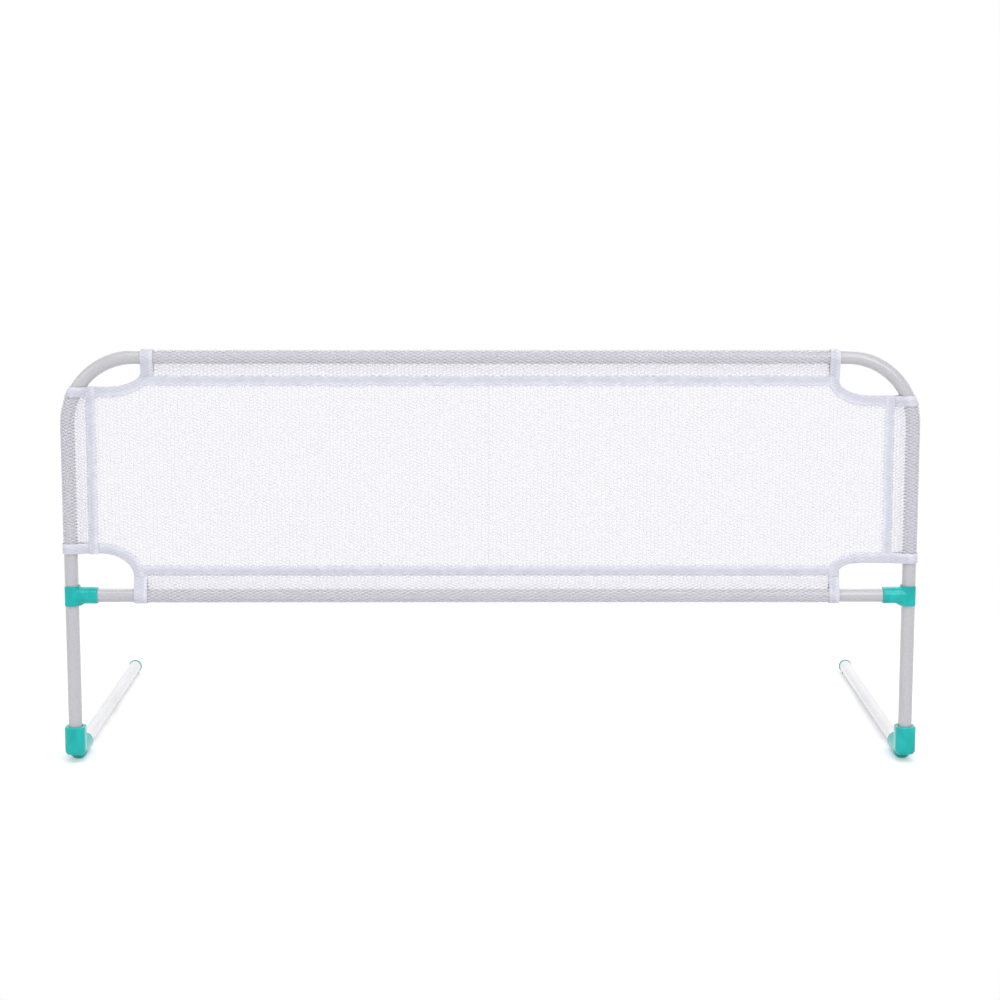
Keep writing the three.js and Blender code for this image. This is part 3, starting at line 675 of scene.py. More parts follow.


# %% [markdown]
# ### Cloth
# The net is white knitted polyester, the tape and binding a bluish white weave, the thread a
# plain white yarn. A little sheen stands for the loose filaments at grazing angles. The net's
# fine filaments also let some of what lies behind them show, so a strand covers only about six
# tenths of it. Every strand is a closed form that is looked through twice, so only its outward
# faces cover and its inner ones are clear. Pulled tight round the tubes, the net covers less, and
# the sleeves' copy of it is painted a little lighter to lift the shade between their two layers.
# Light scatters a little way into the tape, which softens its folds.

# %% Finishes: net, tape and thread
yarn_roughness, tape_roughness = (0.2, 0.62), (0.2, 0.6)


def make_yarn(name, colour, change, cover):
    """Knitted net or sewing thread; cover is how much of what lies behind a strand it hides."""
    steady = {"Sheen Weight": 0.2, "Sheen Roughness": 0.5, "Specular IOR Level": 0.3}
    finish, tree, shader = start_finish(name, steady)
    if cover < 1:
        inside = add_node(tree, "ShaderNodeNewGeometry").outputs["Backfacing"]
        hides = between(tree, inside, 0, 1, to_low=cover, to_high=0)
        tree.links.new(hides, shader.inputs["Alpha"])
    yarn = use_group(tree, spun_yarn, Filament_Scale=2600, Shade_Change=change)
    rough = maths(tree, "MULTIPLY_ADD", yarn["Height"], *yarn_roughness)
    mixed = shaded(tree, colour, yarn["Shade"])
    end_finish(tree, shader, mixed, rough, yarn["Height"], strength=0.5, depth=0.1 * mm)
    return finish


cell_length = 8.8 * mm
cell_height = 3.88 * mm
pale_edge_band = (4 * mm, 6 * mm)
pale_edge_shade = 1.1


def make_tape():
    """Plain woven tape and binding, a little paler along one edge."""
    steady = {"Sheen Weight": 0.2, "Sheen Roughness": 0.45, "Specular IOR Level": 0.2}
    steady |= {"Subsurface Weight": 0.5, "Subsurface Radius": (1, 1, 1), "Subsurface Scale": 1 * mm}
    finish, tree, shader = start_finish("tape_fabric", steady)
    weave = use_group(tree, plain_weave, Thread_Width=0.55 * mm, Shade_Change=0.14)
    yarn = use_group(tree, spun_yarn, Filament_Scale=1500, Shade_Change=0.22)
    # Painted shade of the net's rows under the tape, lighter over each hole.
    under = use_group(
        tree, net_imprint, Cell_Length=cell_length, Cell_Height=cell_height, Shade_Change=0.08
    )
    shade = maths(tree, "MULTIPLY", weave["Shade"], yarn["Shade"])
    shade = maths(tree, "MULTIPLY", shade, under["Shade"])
    # Paler along one edge of the tape.
    pale_edge = between(tree, cloth_place(tree)["Y"], *pale_edge_band, pale_edge_shade, 1)
    colour = shaded(tree, srgb(204, 205, 215), maths(tree, "MULTIPLY", shade, pale_edge))
    rough = maths(tree, "MULTIPLY_ADD", yarn["Height"], *tape_roughness)
    end_finish(tree, shader, colour, rough, weave["Height"], strength=0.6, depth=0.15 * mm)
    return finish


net_fabric = make_yarn("net_fabric", srgb(230, 228, 237), 0.1, 0.64)
# The sleeves' net is painted a little lighter than the panel's, against the shade between its two
# layers.
sleeve_net_painted_lighter = make_yarn("sleeve_net_painted_lighter", srgb(234, 231, 241), 0.1, 0.55)
sewing_thread = make_yarn("sewing_thread", srgb(228, 230, 240), 0.06, 1)
tape_fabric = make_tape()
print("finishes:", len(bpy.data.materials))

# %% [markdown]
# ## The bent frame
# One 16 mm steel tube makes both uprights and the top. It could be a bevelled curve, but a skin
# through circles gives it a wall, eased rims and an even spacing in its two bends. The slot for
# the leg's stop and the screw holes are carved as they are in the solid.

# %% Centre line of the frame tube
bend_steps = 32
over = np.array((0, 1, 0))
foot_height = tube_low.z


def frame_line():
    """Centres along the frame from its left foot to its right one, and each one's way outwards."""
    centres, across = [(-upright_x, rail_plane, foot_height)], [(-1, 0, 0)]
    for side, start in ((-1, 0), (1, QUARTER)):
        for step in range(bend_steps + 1):
            angle = start + QUARTER * step / bend_steps
            out = (-math.cos(angle), 0, math.sin(angle))
            x = side * (upright_x - corner_radius) + corner_radius * out[0]
            centres.append((x, rail_plane, bend_height + corner_radius * out[2]))
            across.append(out)
    centres.append((upright_x, rail_plane, foot_height))
    across.append((1, 0, 0))
    return centres, across


frame_piece = hollow_tube("frame_tube_bent", *frame_line(), over)

# %% Slots for the stops and holes for the screws
fit_gap = 0.3 * mm
overrun = 6 * mm
stop_height = 4 * mm
stop_width = 3 * mm
screw_hole_radius = 1.8 * mm
slot_steps = 24
along_y = Matrix.Rotation(-QUARTER, 4, "X")


def stop_slot(side):
    """Wedge over the quarter turn that a leg's stop travels, at the foot of one upright."""
    margin = math.asin((stop_width / 2 + fit_gap) / (tube_radius - tube_wall))
    reach = tube_radius + overrun
    fold = QUARTER + side * QUARTER
    start, end = sorted((QUARTER - side * margin, fold + side * margin))
    angles = np.linspace(start, end, slot_steps)
    outline = [(0, 0)] + [(reach * math.cos(a), reach * math.sin(a)) for a in angles]
    wedge = prism("slot", outline, foot_height - overrun, foot_height + stop_height)
    return moved(wedge, (side * upright_x, rail_plane, 0))


def back_hole(x, height):
    """Cutter through the back wall of a tube for a tapping screw."""
    profile = [(screw_hole_radius, 0), (screw_hole_radius, tube_radius + overrun)]
    return moved(turned("hole", profile, slot_steps), (x, rail_plane, height), along_y)


holes = [back_hole(side * upright_x, cross_height) for side in (-1, 1)]
carved(frame_piece, cuts=[stop_slot(-1), stop_slot(1), *holes])
dress(frame_piece, "panel", grey_paint, "frame_tube")

# %% [markdown]
# ## The cross tube
# A straight length of the same tube ends inside the tees' arms, with a screw hole near each end.

# %% Cross tube
arm_screw_low, arm_screw_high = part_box("right_tee_arm_screw")
arm_screw_x = (arm_screw_low.x + arm_screw_high.x) / 2
cross_run = np.linspace(cross_low.x, cross_high.x, bend_steps)
cross_centres = [(x, rail_plane, cross_height) for x in cross_run]
cross_piece = hollow_tube("cross_tube_drawn", cross_centres, [(0, 0, 1)] * bend_steps, over)
carved(cross_piece, cuts=[back_hole(side * arm_screw_x, cross_height) for side in (-1, 1)])
dress(cross_piece, "panel", grey_paint, "cross_tube")

# %% [markdown]
# ## The tees
# Each tee is one moulding: a saddle that snaps round the upright with its mouth outwards, a
# socket arm for the cross tube, and a web between them. It is built once, for the left upright,
# with the upright's axis as its own Z axis, and mirrored for the right.

# %% Forms of the left tee
bore_radius = tube_radius + fit_gap
saddle_wall = 2 * mm
saddle_radius = bore_radius + saddle_wall
saddle_half = 11.75 * mm
saddle_mouth = math.radians(84)
saddle_steps = 56
arm_radius = 9.75 * mm
arm_root_radius = 10 * mm
arm_reach = 31 * mm
arm_chamfer = 0.8 * mm
web_half_width = 4.5 * mm
web_length = 6 * mm
relief_depth = 1.3 * mm
relief_width = 2.5 * mm
fitting_sides = 72
along_x = Matrix.Rotation(QUARTER, 4, "Y")


def saddle():
    """Ring round the upright, open on the outer side."""
    half = math.pi - saddle_mouth / 2
    angles = np.linspace(-half, half, saddle_steps)
    outside = [(saddle_radius * math.cos(a), saddle_radius * math.sin(a)) for a in angles]
    inside = [(bore_radius * math.cos(a), bore_radius * math.sin(a)) for a in angles[::-1]]
    return prism("left_tee_moulding", outside + inside, -saddle_half, saddle_half)


def tee_arm():
    """Socket arm, drafted so that it leaves its mould."""
    profile = [(arm_root_radius, 0), (arm_radius, arm_reach - arm_chamfer)]
    profile.append((arm_radius - arm_chamfer, arm_reach))
    return moved(turned("arm", profile, fitting_sides), turn=along_x)


def tee_web():
    """Web under the arm where it meets the saddle's lower rim."""
    low = relief_depth - arm_radius
    outline = [(tube_radius, -saddle_half), (saddle_radius, -saddle_half)]
    end = saddle_radius + web_length
    outline += [(end, low), (end, 0), (tube_radius, 0)]
    web = prism("web", outline, -web_half_width, web_half_width)
    return moved(web, turn=Matrix.Rotation(QUARTER, 4, "X"))


def bore(radius, low, high, turn=Matrix.Identity(4), shift=(0, 0, 0)):
    """Round cutter along Z between two heights, then turned and shifted."""
    return moved(turned("bore", [(radius, low), (radius, high)], fitting_sides), shift, turn)


def mirrored_pair(left, height, node, turns):
    """Puts a moulding built about the left upright in its place, and mirrors it for the right."""
    right = add_object(left.name.replace("left", "right"), left.data.copy())
    right.data.transform(Matrix.Scale(-1, 4, (1, 0, 0)))
    right.data.flip_normals()
    for piece, (side, label) in zip((left, right), SIDES):
        moved(piece, (side * upright_x, rail_plane, height))
        dress(piece, f"{label}_leg" if turns else "panel", teal_plastic, f"{label}_{node}")


# %% The left tee carved, softened and mirrored
tee_voxel = 0.45 * mm
tee_passes = 5
arm_screw_reach = upright_x - arm_screw_x
relief_low = (saddle_radius - relief_depth, -tube_radius / 2, arm_radius - relief_depth)
relief_high = (saddle_radius - relief_depth + relief_width, tube_radius / 2, 2 * saddle_half)
upright_bore = bore(bore_radius, -2 * saddle_half, 2 * saddle_half)
tee_arm_form = carved(tee_arm(), joins=[tee_web()], cuts=[upright_bore])
left_tee = carved(
    saddle(),
    joins=[tee_arm_form],
    cuts=[
        bore(bore_radius, saddle_radius, arm_reach + overrun, along_x),
        bore(screw_hole_radius, 0, saddle_radius + overrun, along_y),
        bore(screw_hole_radius, 0, saddle_radius + overrun, along_y, (arm_screw_reach, 0, 0)),
        block("relief", relief_low, relief_high),
    ],
)
mirrored_pair(softened(left_tee, tee_voxel, tee_passes), cross_height, "tee", turns=False)

# %% [markdown]
# ## The elbows
# The foot of each upright turns in an elbow: a rounded square body with a bore, a round socket
# behind it that takes the leg tube, and a recess underneath for the pivot screw. As before, the
# left one is built about its own axis with the leg along Y, and the right one mirrors it.

# %% Forms of the left elbow
elbow_width = 24 * mm
elbow_corner = 7.2 * mm
elbow_lift = 9 * mm
elbow_top = 43 * mm
elbow_floor = 15 * mm
under_fillet = 5.5 * mm
rim_chamfer = 1.2 * mm
socket_radius = 10.8 * mm
socket_start = 10 * mm
socket_nose = 2.4 * mm
socket_reach = 58 * mm
socket_bottom = 16 * mm
leg_height = 10.3 * mm
fillet_steps = 10
pivot_hole_radius = 2.3 * mm
recess_radius = 4.3 * mm
recess_top = 12.4 * mm


def rounded_square(width, radius, height):
    """Ring of a square with round corners at one height."""
    ring = []
    for quarter, (x, y) in enumerate([(1, 1), (-1, 1), (-1, -1), (1, -1)]):
        for step in range(fillet_steps + 1):
            angle = QUARTER * (quarter + step / fillet_steps)
            out = width / 2 - radius
            ring.append((x * out + radius * math.cos(angle), y * out + radius * math.sin(angle)))
    return [(x, y, height) for x, y in ring]


def elbow_body():
    """Body round the upright, filleted underneath and eased round its rim."""
    rings = []
    for step in range(fillet_steps + 1):
        angle = QUARTER * step / fillet_steps
        inset = under_fillet * (1 - math.sin(angle))
        height = elbow_lift + under_fillet * (1 - math.cos(angle))
        rings.append(rounded_square(elbow_width - 2 * inset, elbow_corner - inset, height))
    rings.append(rounded_square(elbow_width, elbow_corner, elbow_top - rim_chamfer))
    rim_width = elbow_width - 2 * rim_chamfer
    rings.append(rounded_square(rim_width, elbow_corner - rim_chamfer, elbow_top))
    return skin("left_elbow_moulding", rings)


def elbow_socket():
    """Socket for the leg, with an eased nose and rim."""
    profile = [
        (socket_radius - socket_nose, socket_start),
        (socket_radius, socket_start + socket_nose),
        (socket_radius, socket_reach - arm_chamfer),
        (socket_radius - arm_chamfer, socket_reach),
    ]
    return moved(turned("socket", profile, fitting_sides), (0, 0, leg_height), along_y)


def stop_lug():
    """Lug in the bottom of the bore that runs in the upright's slot."""
    near = tube_radius - tube_wall + fit_gap / 2
    low = (-stop_width / 2, near, elbow_floor - rim_chamfer)
    top = foot_height + stop_height - fit_gap
    return block("lug", low, (stop_width / 2, elbow_width / 2 - rim_chamfer, top))


# %% The left elbow carved, softened and mirrored
elbow_voxel = 0.5 * mm
elbow_passes = 6
leg_screw_low, leg_screw_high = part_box("left_leg_screw")
leg_screw_reach = (leg_screw_low.y + leg_screw_high.y) / 2 - rail_plane
leg_screw_place = (0, leg_screw_reach, leg_height)
outward = Matrix.Rotation(-QUARTER, 4, "Y")
left_elbow = carved(
    elbow_body(),
    joins=[elbow_socket()],
    cuts=[
        bore(bore_radius, elbow_floor, elbow_top + overrun),
        bore(bore_radius, socket_bottom, socket_reach + overrun, along_y, (0, 0, leg_height)),
        bore(pivot_hole_radius, 0, elbow_floor + overrun),
        bore(recess_radius, -overrun, recess_top),
        bore(screw_hole_radius, 0, socket_radius + overrun, outward, leg_screw_place),
        block("floor", [-elbow_width] * 3, (elbow_width, 3 * elbow_width, 0)),
    ],
)
carved(left_elbow, joins=[stop_lug()])
mirrored_pair(softened(left_elbow, elbow_voxel, elbow_passes), 0, "elbow", turns=True)

# %% [markdown]
# ## The legs
# A leg is a straight tube in the frame's coat, painted lighter for the light from above on it. Its
# end cap is turned, with a flange, a dome, and a small foot below that keeps the leg level with the
# elbow.

# %% Leg tubes
for side, label in SIDES:
    leg_low, leg_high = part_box(f"{label}_leg_tube")
    leg_run = np.linspace(leg_low.y, leg_high.y, bend_steps)
    leg_centres = [(side * upright_x, y, leg_height) for y in leg_run]
    leg_piece = hollow_tube(f"{label}_leg_drawn", leg_centres, [(1, 0, 0)] * bend_steps, (0, 0, 1))
    # The leg's paint is painted lighter for the light from above.
    dress(leg_piece, f"{label}_leg", white_paint, f"{label}_leg_tube")

# %% End caps
cap_radius = 8.9 * mm
cap_lip = 1.25 * mm
cap_flange = 2.2 * mm
cap_dome = 7 * mm
cap_insert = 16 * mm
cap_foot = (8 * mm, 6 * mm)
cap_voxel = 0.4 * mm
cap_passes = 3
dome_steps = 14
leg_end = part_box("left_leg_cap")[0].y + cap_insert - rail_plane


def leg_cap():
    """Insert, flange and dome in one turned body, joined to its foot."""
    insert = tube_radius - tube_wall - fit_gap
    dome = cap_radius - cap_lip / 2
    profile = [(insert - cap_lip / 2, -cap_insert), (insert, cap_lip / 2 - cap_insert), (insert, 0)]
    profile += [(cap_radius, 0), (cap_radius, cap_flange)]
    for angle in QUARTER * np.arange(dome_steps) / dome_steps:
        profile.append((dome * math.cos(angle), cap_flange + cap_dome * math.sin(angle)))
    cap = turned("left_cap_moulding", profile, fitting_sides)
    moved(cap, (0, leg_end, leg_height), along_y)
    low = (-cap_foot[0] / 2, leg_end, 0)
    foot = block("foot", low, (cap_foot[0] / 2, leg_end + cap_foot[1], leg_height))
    return softened(carved(cap, joins=[foot]), cap_voxel, cap_passes)


mirrored_pair(leg_cap(), 0, "leg_cap", turns=True)

# %% [markdown]
# ## Screws, washers and plugs
# Six tapping screws hold the fittings, and two pivot screws hold the elbows on. A screw is turned
# from a profile with a ring for each thread, and a tapered cross is carved in its head. Its place
# and length come from the box of its node, and the direction that its head faces is given with
# it.

# %% Screw meshes
thread_pitch = 1.1 * mm
thread_depth = 0.3 * mm
head_steps = 6
head_rim = 0.4
head_flat = 0.7
head_ease = 0.12 * mm
head_height = 2 * mm
tapping_radii = (1.5 * mm, 3.2 * mm)
pivot_radii = (2 * mm, 4 * mm)
screw_sides = 40
cross_reach = 0.62
cross_width = 0.5 * mm
cross_depth = 1.2 * mm


def screw(name, radius, head_radius, length):
    """Pan-head screw along Z with the top of its head at zero."""
    tip = radius
    profile = [(thread_depth / 2, -length), (radius - thread_depth, tip - length)]
    turns = int((length - head_height - tip) / thread_pitch)
    for turn in range(turns):
        height = tip - length + turn * thread_pitch
        profile.append((radius, height + thread_pitch / 2))
        profile.append((radius - thread_depth, height + thread_pitch))
    rim = head_height * head_rim
    flat = head_radius * head_flat
    profile += [(radius, -head_height), (head_radius - head_ease, -head_height)]
    profile.append((head_radius, head_ease - head_height))
    for step in range(head_steps + 1):
        angle = QUARTER * step / head_steps
        out = flat + (head_radius - flat) * math.cos(angle)
        profile.append((out, (head_height - rim) * (math.sin(angle) - 1)))
    return carved(turned(name, profile, screw_sides), cuts=[screw_cross(head_radius * cross_reach)])


def screw_cross(reach):
    """Tapered cross for the driver."""
    bars = []
    for half_x, half_y in ((reach, cross_width), (cross_width, reach)):
        ring = [(1, 1), (-1, 1), (-1, -1), (1, -1)]
        top = [(x * half_x, y * half_y, thread_depth) for x, y in ring]
        low = [(x * half_x / 2, y * half_y / 2, -cross_depth) for x, y in ring]
        bars.append(skin("bar", [low, top]))
    return carved(bars[0], joins=[bars[1]])


def set_screw(node, body, radii, outwards):
    """A screw with its own radius and its head's, set where its node is."""
    low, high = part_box(node)
    outwards = Vector(outwards)
    centre, half = (low + high) / 2, (high - low) / 2
    reach = abs(half.dot(outwards))
    turn = Vector((0, 0, 1)).rotation_difference(outwards).to_matrix().to_4x4()
    made = moved(screw(f"{node}_turned", *radii, 2 * reach), centre + reach * outwards, turn)
    dress(made, body, zinc_steel, node)


# %% Screws set in their places
for side, label in SIDES:
    set_screw(f"{label}_tee_upright_screw", "panel", tapping_radii, (0, 1, 0))
    set_screw(f"{label}_tee_arm_screw", "panel", tapping_radii, (0, 1, 0))
    set_screw(f"{label}_leg_screw", f"{label}_leg", tapping_radii, (side, 0, 0))
    set_screw(f"{label}_swivel_screw", "panel", pivot_radii, (0, 0, -1))

# %% Washers and plugs
washer_ease = 0.15 * mm
for side, label in SIDES:
    low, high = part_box(f"{label}_swivel_washer")
    outer, inner = (high.x - low.x) / 2, pivot_hole_radius
    profile = [(inner, low.z), (outer - washer_ease, low.z), (outer, low.z + washer_ease)]
    profile += [(outer, high.z - washer_ease), (outer - washer_ease, high.z), (inner, high.z)]
    washer = turned(f"{label}_washer_stamped", profile, screw_sides, looped=True)
    moved(washer, (side * upright_x, rail_plane, 0))
    dress(washer, "panel", zinc_steel, f"{label}_swivel_washer")
    give_finish(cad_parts[f"{label}_upright_plug"], grey_plastic)

# %% [markdown]
# ## The net
# The cover is an open knitted net with lens-shaped holes in staggered rows. An image or a pattern
# of see-through dots would look flat from the side, so every strand is real: round each hole,
# eight faces in front and eight behind rise to a ridge along the strand's middle and swell into
# knots where four strands meet. The holes are smaller on the panel than on the sleeves, which are
# pulled open round the tubes. One lattice serves the panel and all four sleeves. Each gives a
# function that lays flat lattice points on its own surface, and a second one that says which
# holes it keeps.

# %% Lattice of the net
sleeve_hole = (5.2 * mm, 1.85 * mm)
panel_hole = (4.4 * mm, 1.5 * mm)
hole_fullness = 0.63
strand_thickness = 0.44 * mm
knot_swell = 1.2
RIM_STEPS = np.array([(2, 0), (1, 1), (0, 2), (-1, 1), (-2, 0), (-1, -1), (0, -2), (1, -1)])
RIM_COUNT = len(RIM_STEPS)
lattice_step = np.array((cell_length, cell_height)) / 4
BAKE_MAP = "OFBake"
map_margin = 0.01


def lattice(low, high, keep):
    """Whole-number centres of the holes inside a flat rectangle that are worth keeping."""
    first = np.floor(np.array(low) / lattice_step).astype(int)
    last = np.ceil(np.array(high) / lattice_step).astype(int)
    p, q = np.meshgrid(np.arange(first[0], last[0]), np.arange(first[1], last[1]), indexing="ij")
    p, q = p.ravel(), q.ravel()
    staggered = (p % 2 == 0) & (q % 2 == 0) & ((p + q) % 4 == 0)
    p, q = p[staggered], q[staggered]
    inside = keep(p * lattice_step[0], q * lattice_step[1])
    return np.stack([p[inside], q[inside]], axis=1)


def hole_offsets(hole):
    """Eight points of one hole about its centre."""
    half = np.array(hole) / 2
    share = np.where((RIM_STEPS == 0).any(1), 0.5, hole_fullness)
    return RIM_STEPS * share[:, None] * half


def net_cloth(name, low, high, hole, keep, lay):
    """A net with holes of one size over a flat rectangle, which lay puts on its surface."""
    centres = lattice(low, high, keep)
    rims = centres[:, None, :] + RIM_STEPS[None]
    knots, rim_index = np.unique(rims.reshape(-1, 2), axis=0, return_inverse=True)
    rim_index = rim_index.reshape(-1, RIM_COUNT)
    count = len(knots)
    swell = np.where((knots % 2 == 0).all(1), knot_swell, 1.0)
    lift = swell * strand_thickness / 2
    holes = (centres * lattice_step)[:, None, :] + hole_offsets(hole)[None]
    rim_points = len(centres) * RIM_COUNT
    hole_index = 2 * count + np.arange(rim_points).reshape(-1, RIM_COUNT)
    knot_places = knots * lattice_step
    flat = np.concatenate([knot_places, knot_places, holes.reshape(-1, 2)])
    lifts = np.concatenate([lift, -lift, np.zeros(rim_points)])
    points = lay(flat[:, 0], flat[:, 1], lifts)
    ahead, hole_ahead = np.roll(rim_index, -1, axis=1), np.roll(hole_index, -1, axis=1)
    front = np.stack([rim_index, ahead, hole_ahead, hole_index], axis=-1)
    back = np.stack([ahead + count, rim_index + count, hole_index, hole_ahead], axis=-1)
    edges = np.stack([rim_index, ahead], axis=-1).reshape(-1, 2)
    edge_ends = np.sort(edges, axis=1)
    _, which, uses = np.unique(edge_ends, axis=0, return_inverse=True, return_counts=True)
    border = edges[uses[which.ravel()] == 1]
    start, end = border.T
    walls = np.stack([end, start, start + count, end + count], axis=-1)
    faces = np.concatenate([front.reshape(-1, 4), back.reshape(-1, 4), walls])
    made = add_mesh(name, points, faces.tolist(), sharp=None)
    face_outwards(made.data)
    map_net(made.data, flat, rim_points)
    return made


def map_net(mesh, flat, front_count):
    """Lays the fronts in one half of a square map and the backs in the other, for baking."""
    share = (flat - flat.min(0)) / np.ptp(flat, axis=0) * (1 - 2 * map_margin) + map_margin
    places = share[read_values(mesh.loops, "vertex_index", kind=int).ravel()] * (1, 0.5)
    places[front_count * 4 :, 1] += 0.5
    write_map(mesh, BAKE_MAP, places)


def cloth_area(mesh):
    """Flat area of a net's strands, which is half its skin."""
    return float(read_values(mesh.polygons, "area").sum()) / 2


# %% [markdown]
# ### Slack
# No net hangs as a perfect grid. Slow waves move its lattice by a fraction of a strand, and the
# panel billows by about two millimetres between its seams, which stay where they are sewn. Sums
# of a few waves are enough for this, and unlike a simulation they give the net the same shape
# every time.

# %% Slow waves for slack cloth
def phase_of(tube):
    """A phase for each tube's waves, so that no two tubes have the same ones."""
    return len(tube)


wave_slant, slant_step, wave_step = 0.6, 2.4, 1.7


def waves(along, across, lengths, phase):
    """Sum of a few slow waves in two directions, between about -1 and 1."""
    total = 0
    for turn, length in enumerate(lengths):
        slant = wave_slant * math.sin(turn * slant_step + phase)
        total = total + np.sin(TURN * (along + slant * across) / length + turn * wave_step + phase)
    return total / len(lengths)


drift_size = 0.5 * mm
drift_lengths = (61 * mm, 37 * mm, 23 * mm)
billow_size = 2.2 * mm
billow_lengths = (420 * mm, 260 * mm, 150 * mm)
billow_fade = 70 * mm
billow_phase, panel_phase = 0.4, 0.9
seam_reach = 22.8 * mm


def drifted(u, v, phase):
    """Lattice points moved by the net's slack."""
    return (
        u + drift_size * waves(u, v, drift_lengths, phase),
        v + drift_size / 2 * waves(v, u, drift_lengths, phase + 2),
    )


def billow(x, z):
    """How far the panel stands off its plane, fading to nothing at its seams."""
    rooms = [
        upright_x - seam_reach - np.abs(x),
        top_height - seam_reach - z,
        z - cross_height - seam_reach,
    ]
    fade = np.clip(np.minimum.reduce(rooms) / billow_fade, 0, 1)
    return billow_size * fade * fade * (3 - 2 * fade) * waves(x, z, billow_lengths, billow_phase)


# %% [markdown]
# ### Corners
# Each corner of the cover is cut away so that the frame's bend shows. The cut starts square to
# the level tube, turns through a quarter of an ellipse and runs on level to the upright. The four
# corners differ a little, because they are cut by hand and the cover has slipped on its frame:
# the right sleeve sits lower than the left one. Each corner has the place of its two straight
# edges, then the width of its curve and where the curve starts.

# %% Cut-out corners
corner_cuts = {
    ("top", "left"): (404.5 * mm, 445.8 * mm, 40 * mm, 16 * mm),
    ("top", "right"): (404.5 * mm, 435.5 * mm, 38 * mm, 27 * mm),
    ("bottom", "left"): (417.5 * mm, 250 * mm, 39 * mm, 22 * mm),
    ("bottom", "right"): (409 * mm, 238.5 * mm, 25 * mm, 29 * mm),
}


def corner_at(level, label):
    """Everything that places one cut-out corner."""
    edge_x, edge_z, width, drop = corner_cuts[level, label]
    up = 1 if level == "top" else -1
    centre_z = (top_height if up > 0 else cross_height) - up * drop
    return SimpleNamespace(
        name=f"{level}_{label}", level=level, label=label, side=-1 if label == "left" else 1, up=up,
        edge_x=edge_x, edge_z=edge_z, width=width, drop=drop,
        centre_x=edge_x + width, centre_z=centre_z, rise=abs(centre_z - edge_z),
    )


corners = {f"{level}_{label}": corner_at(level, label) for level, label in corner_cuts}


def corner_room(corner, x, z):
    """How far flat points lie inside a corner's cut edge, negative in the cut-out."""
    across = corner.centre_x - corner.side * x
    drop = corner.up * (corner.centre_z - z)
    rise, width = corner.rise, corner.width
    inside = np.maximum(across - width, drop - rise)
    ratio = np.hypot(np.maximum(across, 0) / width, np.maximum(drop, 0) / rise)
    curved = (ratio - 1) * np.minimum(width, rise)
    quarter = (across > 0) & (drop > 0)
    return np.where(quarter, curved, inside)


# %% Net panel, in two pieces that meet in the middle
cut_hidden = 4 * mm
panel_hidden = 2 * mm
panel_x = upright_x - seam_reach - panel_hidden
panel_low = cross_height + seam_reach + panel_hidden
panel_high = top_height - seam_reach - panel_hidden


def in_panel(side):
    """Which holes one half of the panel keeps."""

    def keep(x, z):
        inside = (side * x >= 0) if side > 0 else (x < 0)
        for corner in corners.values():
            inside = inside & (corner_room(corner, x, z) > cut_hidden)
        return inside

    return keep


def lay_panel(x, z, lift):
    """Flat lattice points on the billowing panel."""
    moved_x, moved_z = drifted(x, z, panel_phase)
    return np.stack([moved_x, rail_plane + billow(x, z) - lift, moved_z], axis=-1)


for side, label in SIDES:
    low = (-panel_x if side < 0 else 0, panel_low)
    high = (0 if side < 0 else panel_x, panel_high)
    name = f"net_panel_{label}_half"
    panel_piece = net_cloth(name, low, high, panel_hole, in_panel(side), lay_panel)
    dress(panel_piece, "panel", net_fabric, "net_panel")
    area = cloth_area(panel_piece.data)

# %% [markdown]
# ### Sleeves
# The net wraps each tube and comes back to itself at a seam, so in section a sleeve is a drop:
# round on the far side of the tube, with two flat flanks that meet. Cut level across a bending
# tube, the round part widens, and the formula for a slice through a bend gives that exactly. A
# straight tube is the same slice with no rise.

# %% The drop-shaped wrap round a tube
net_gap = 0.52 * mm
wrap_radius = tube_radius + net_gap
layer_gap = 0.5 * mm
tail = 9 * mm
push = 3.5 * mm
slice_samples = 181
wrap_step = 0.5 * mm


def wrap_outline(rise):
    """Slice of a sleeve, inward and crossways, from its front tail round to its back one."""
    angles = np.linspace(-math.pi, math.pi, slice_samples)
    rise = max(rise, 0)
    inward = corner_radius - np.sqrt((corner_radius + wrap_radius * np.cos(angles)) ** 2 - rise**2)
    crossways = wrap_radius * np.sin(angles)
    seam = max(seam_reach, inward.max() + push if rise > 0 else 0)
    slope = np.arctan2(np.abs(crossways) - layer_gap, seam - inward)
    first = int(np.argmax(np.where(angles < 0, slope, -QUARTER)))
    last = int(np.argmax(np.where(angles > 0, slope, -QUARTER)))
    around = np.stack([inward[first : last + 1], crossways[first : last + 1]], axis=-1)
    front = [(seam + tail, -layer_gap), (seam, -layer_gap)]
    back = [(seam, layer_gap), (seam + tail, layer_gap)]
    line = np.vstack([front, around, back])
    travelled = distances(line)
    far_side = travelled[2 - first + slice_samples // 2]
    return line, travelled - far_side


def wrap_table(rises, reach):
    """Slices at several rises, each read at the same distances from the far side of the tube."""
    spots = np.arange(-reach, reach + wrap_step, wrap_step)
    rows = []
    for rise in rises:
        line, travelled = wrap_outline(rise)
        rows.append(read_along(spots, travelled, line))
    return spots, np.array(rows)


wrap_reach = 62 * mm
rise_step = 2 * mm
rise_samples = 33
grid_edge = 0.001
wrap_spots, wrap_rows = wrap_table(np.arange(rise_samples) * rise_step, wrap_reach)
print("a flat sleeve takes", round(2 * wrap_outline(0)[1][-1] / mm, 1), "mm of net round the tube")


def grid_cell(spots, count):
    """The grid cell that each spot lies in, and its share of the way to the next one."""
    spots = np.clip(spots, 0, count - 1 - grid_edge)
    cell = spots.astype(int)
    return cell, (spots - cell)[:, None]


def wrap_at(rise, around):
    """Inward and crossways places for points round a tube, by their rise in its bend."""
    row, down = grid_cell(rise / rise_step, rise_samples)
    column, along = grid_cell((around + wrap_reach) / wrap_step, len(wrap_spots))
    near = wrap_rows[row, column] * (1 - along) + wrap_rows[row, column + 1] * along
    far = wrap_rows[row + 1, column] * (1 - along) + wrap_rows[row + 1, column + 1] * along
    return near * (1 - down) + far * down


def on_upright(tube):
    """Whether a tube is one of the uprights."""
    return tube in ("left", "right")


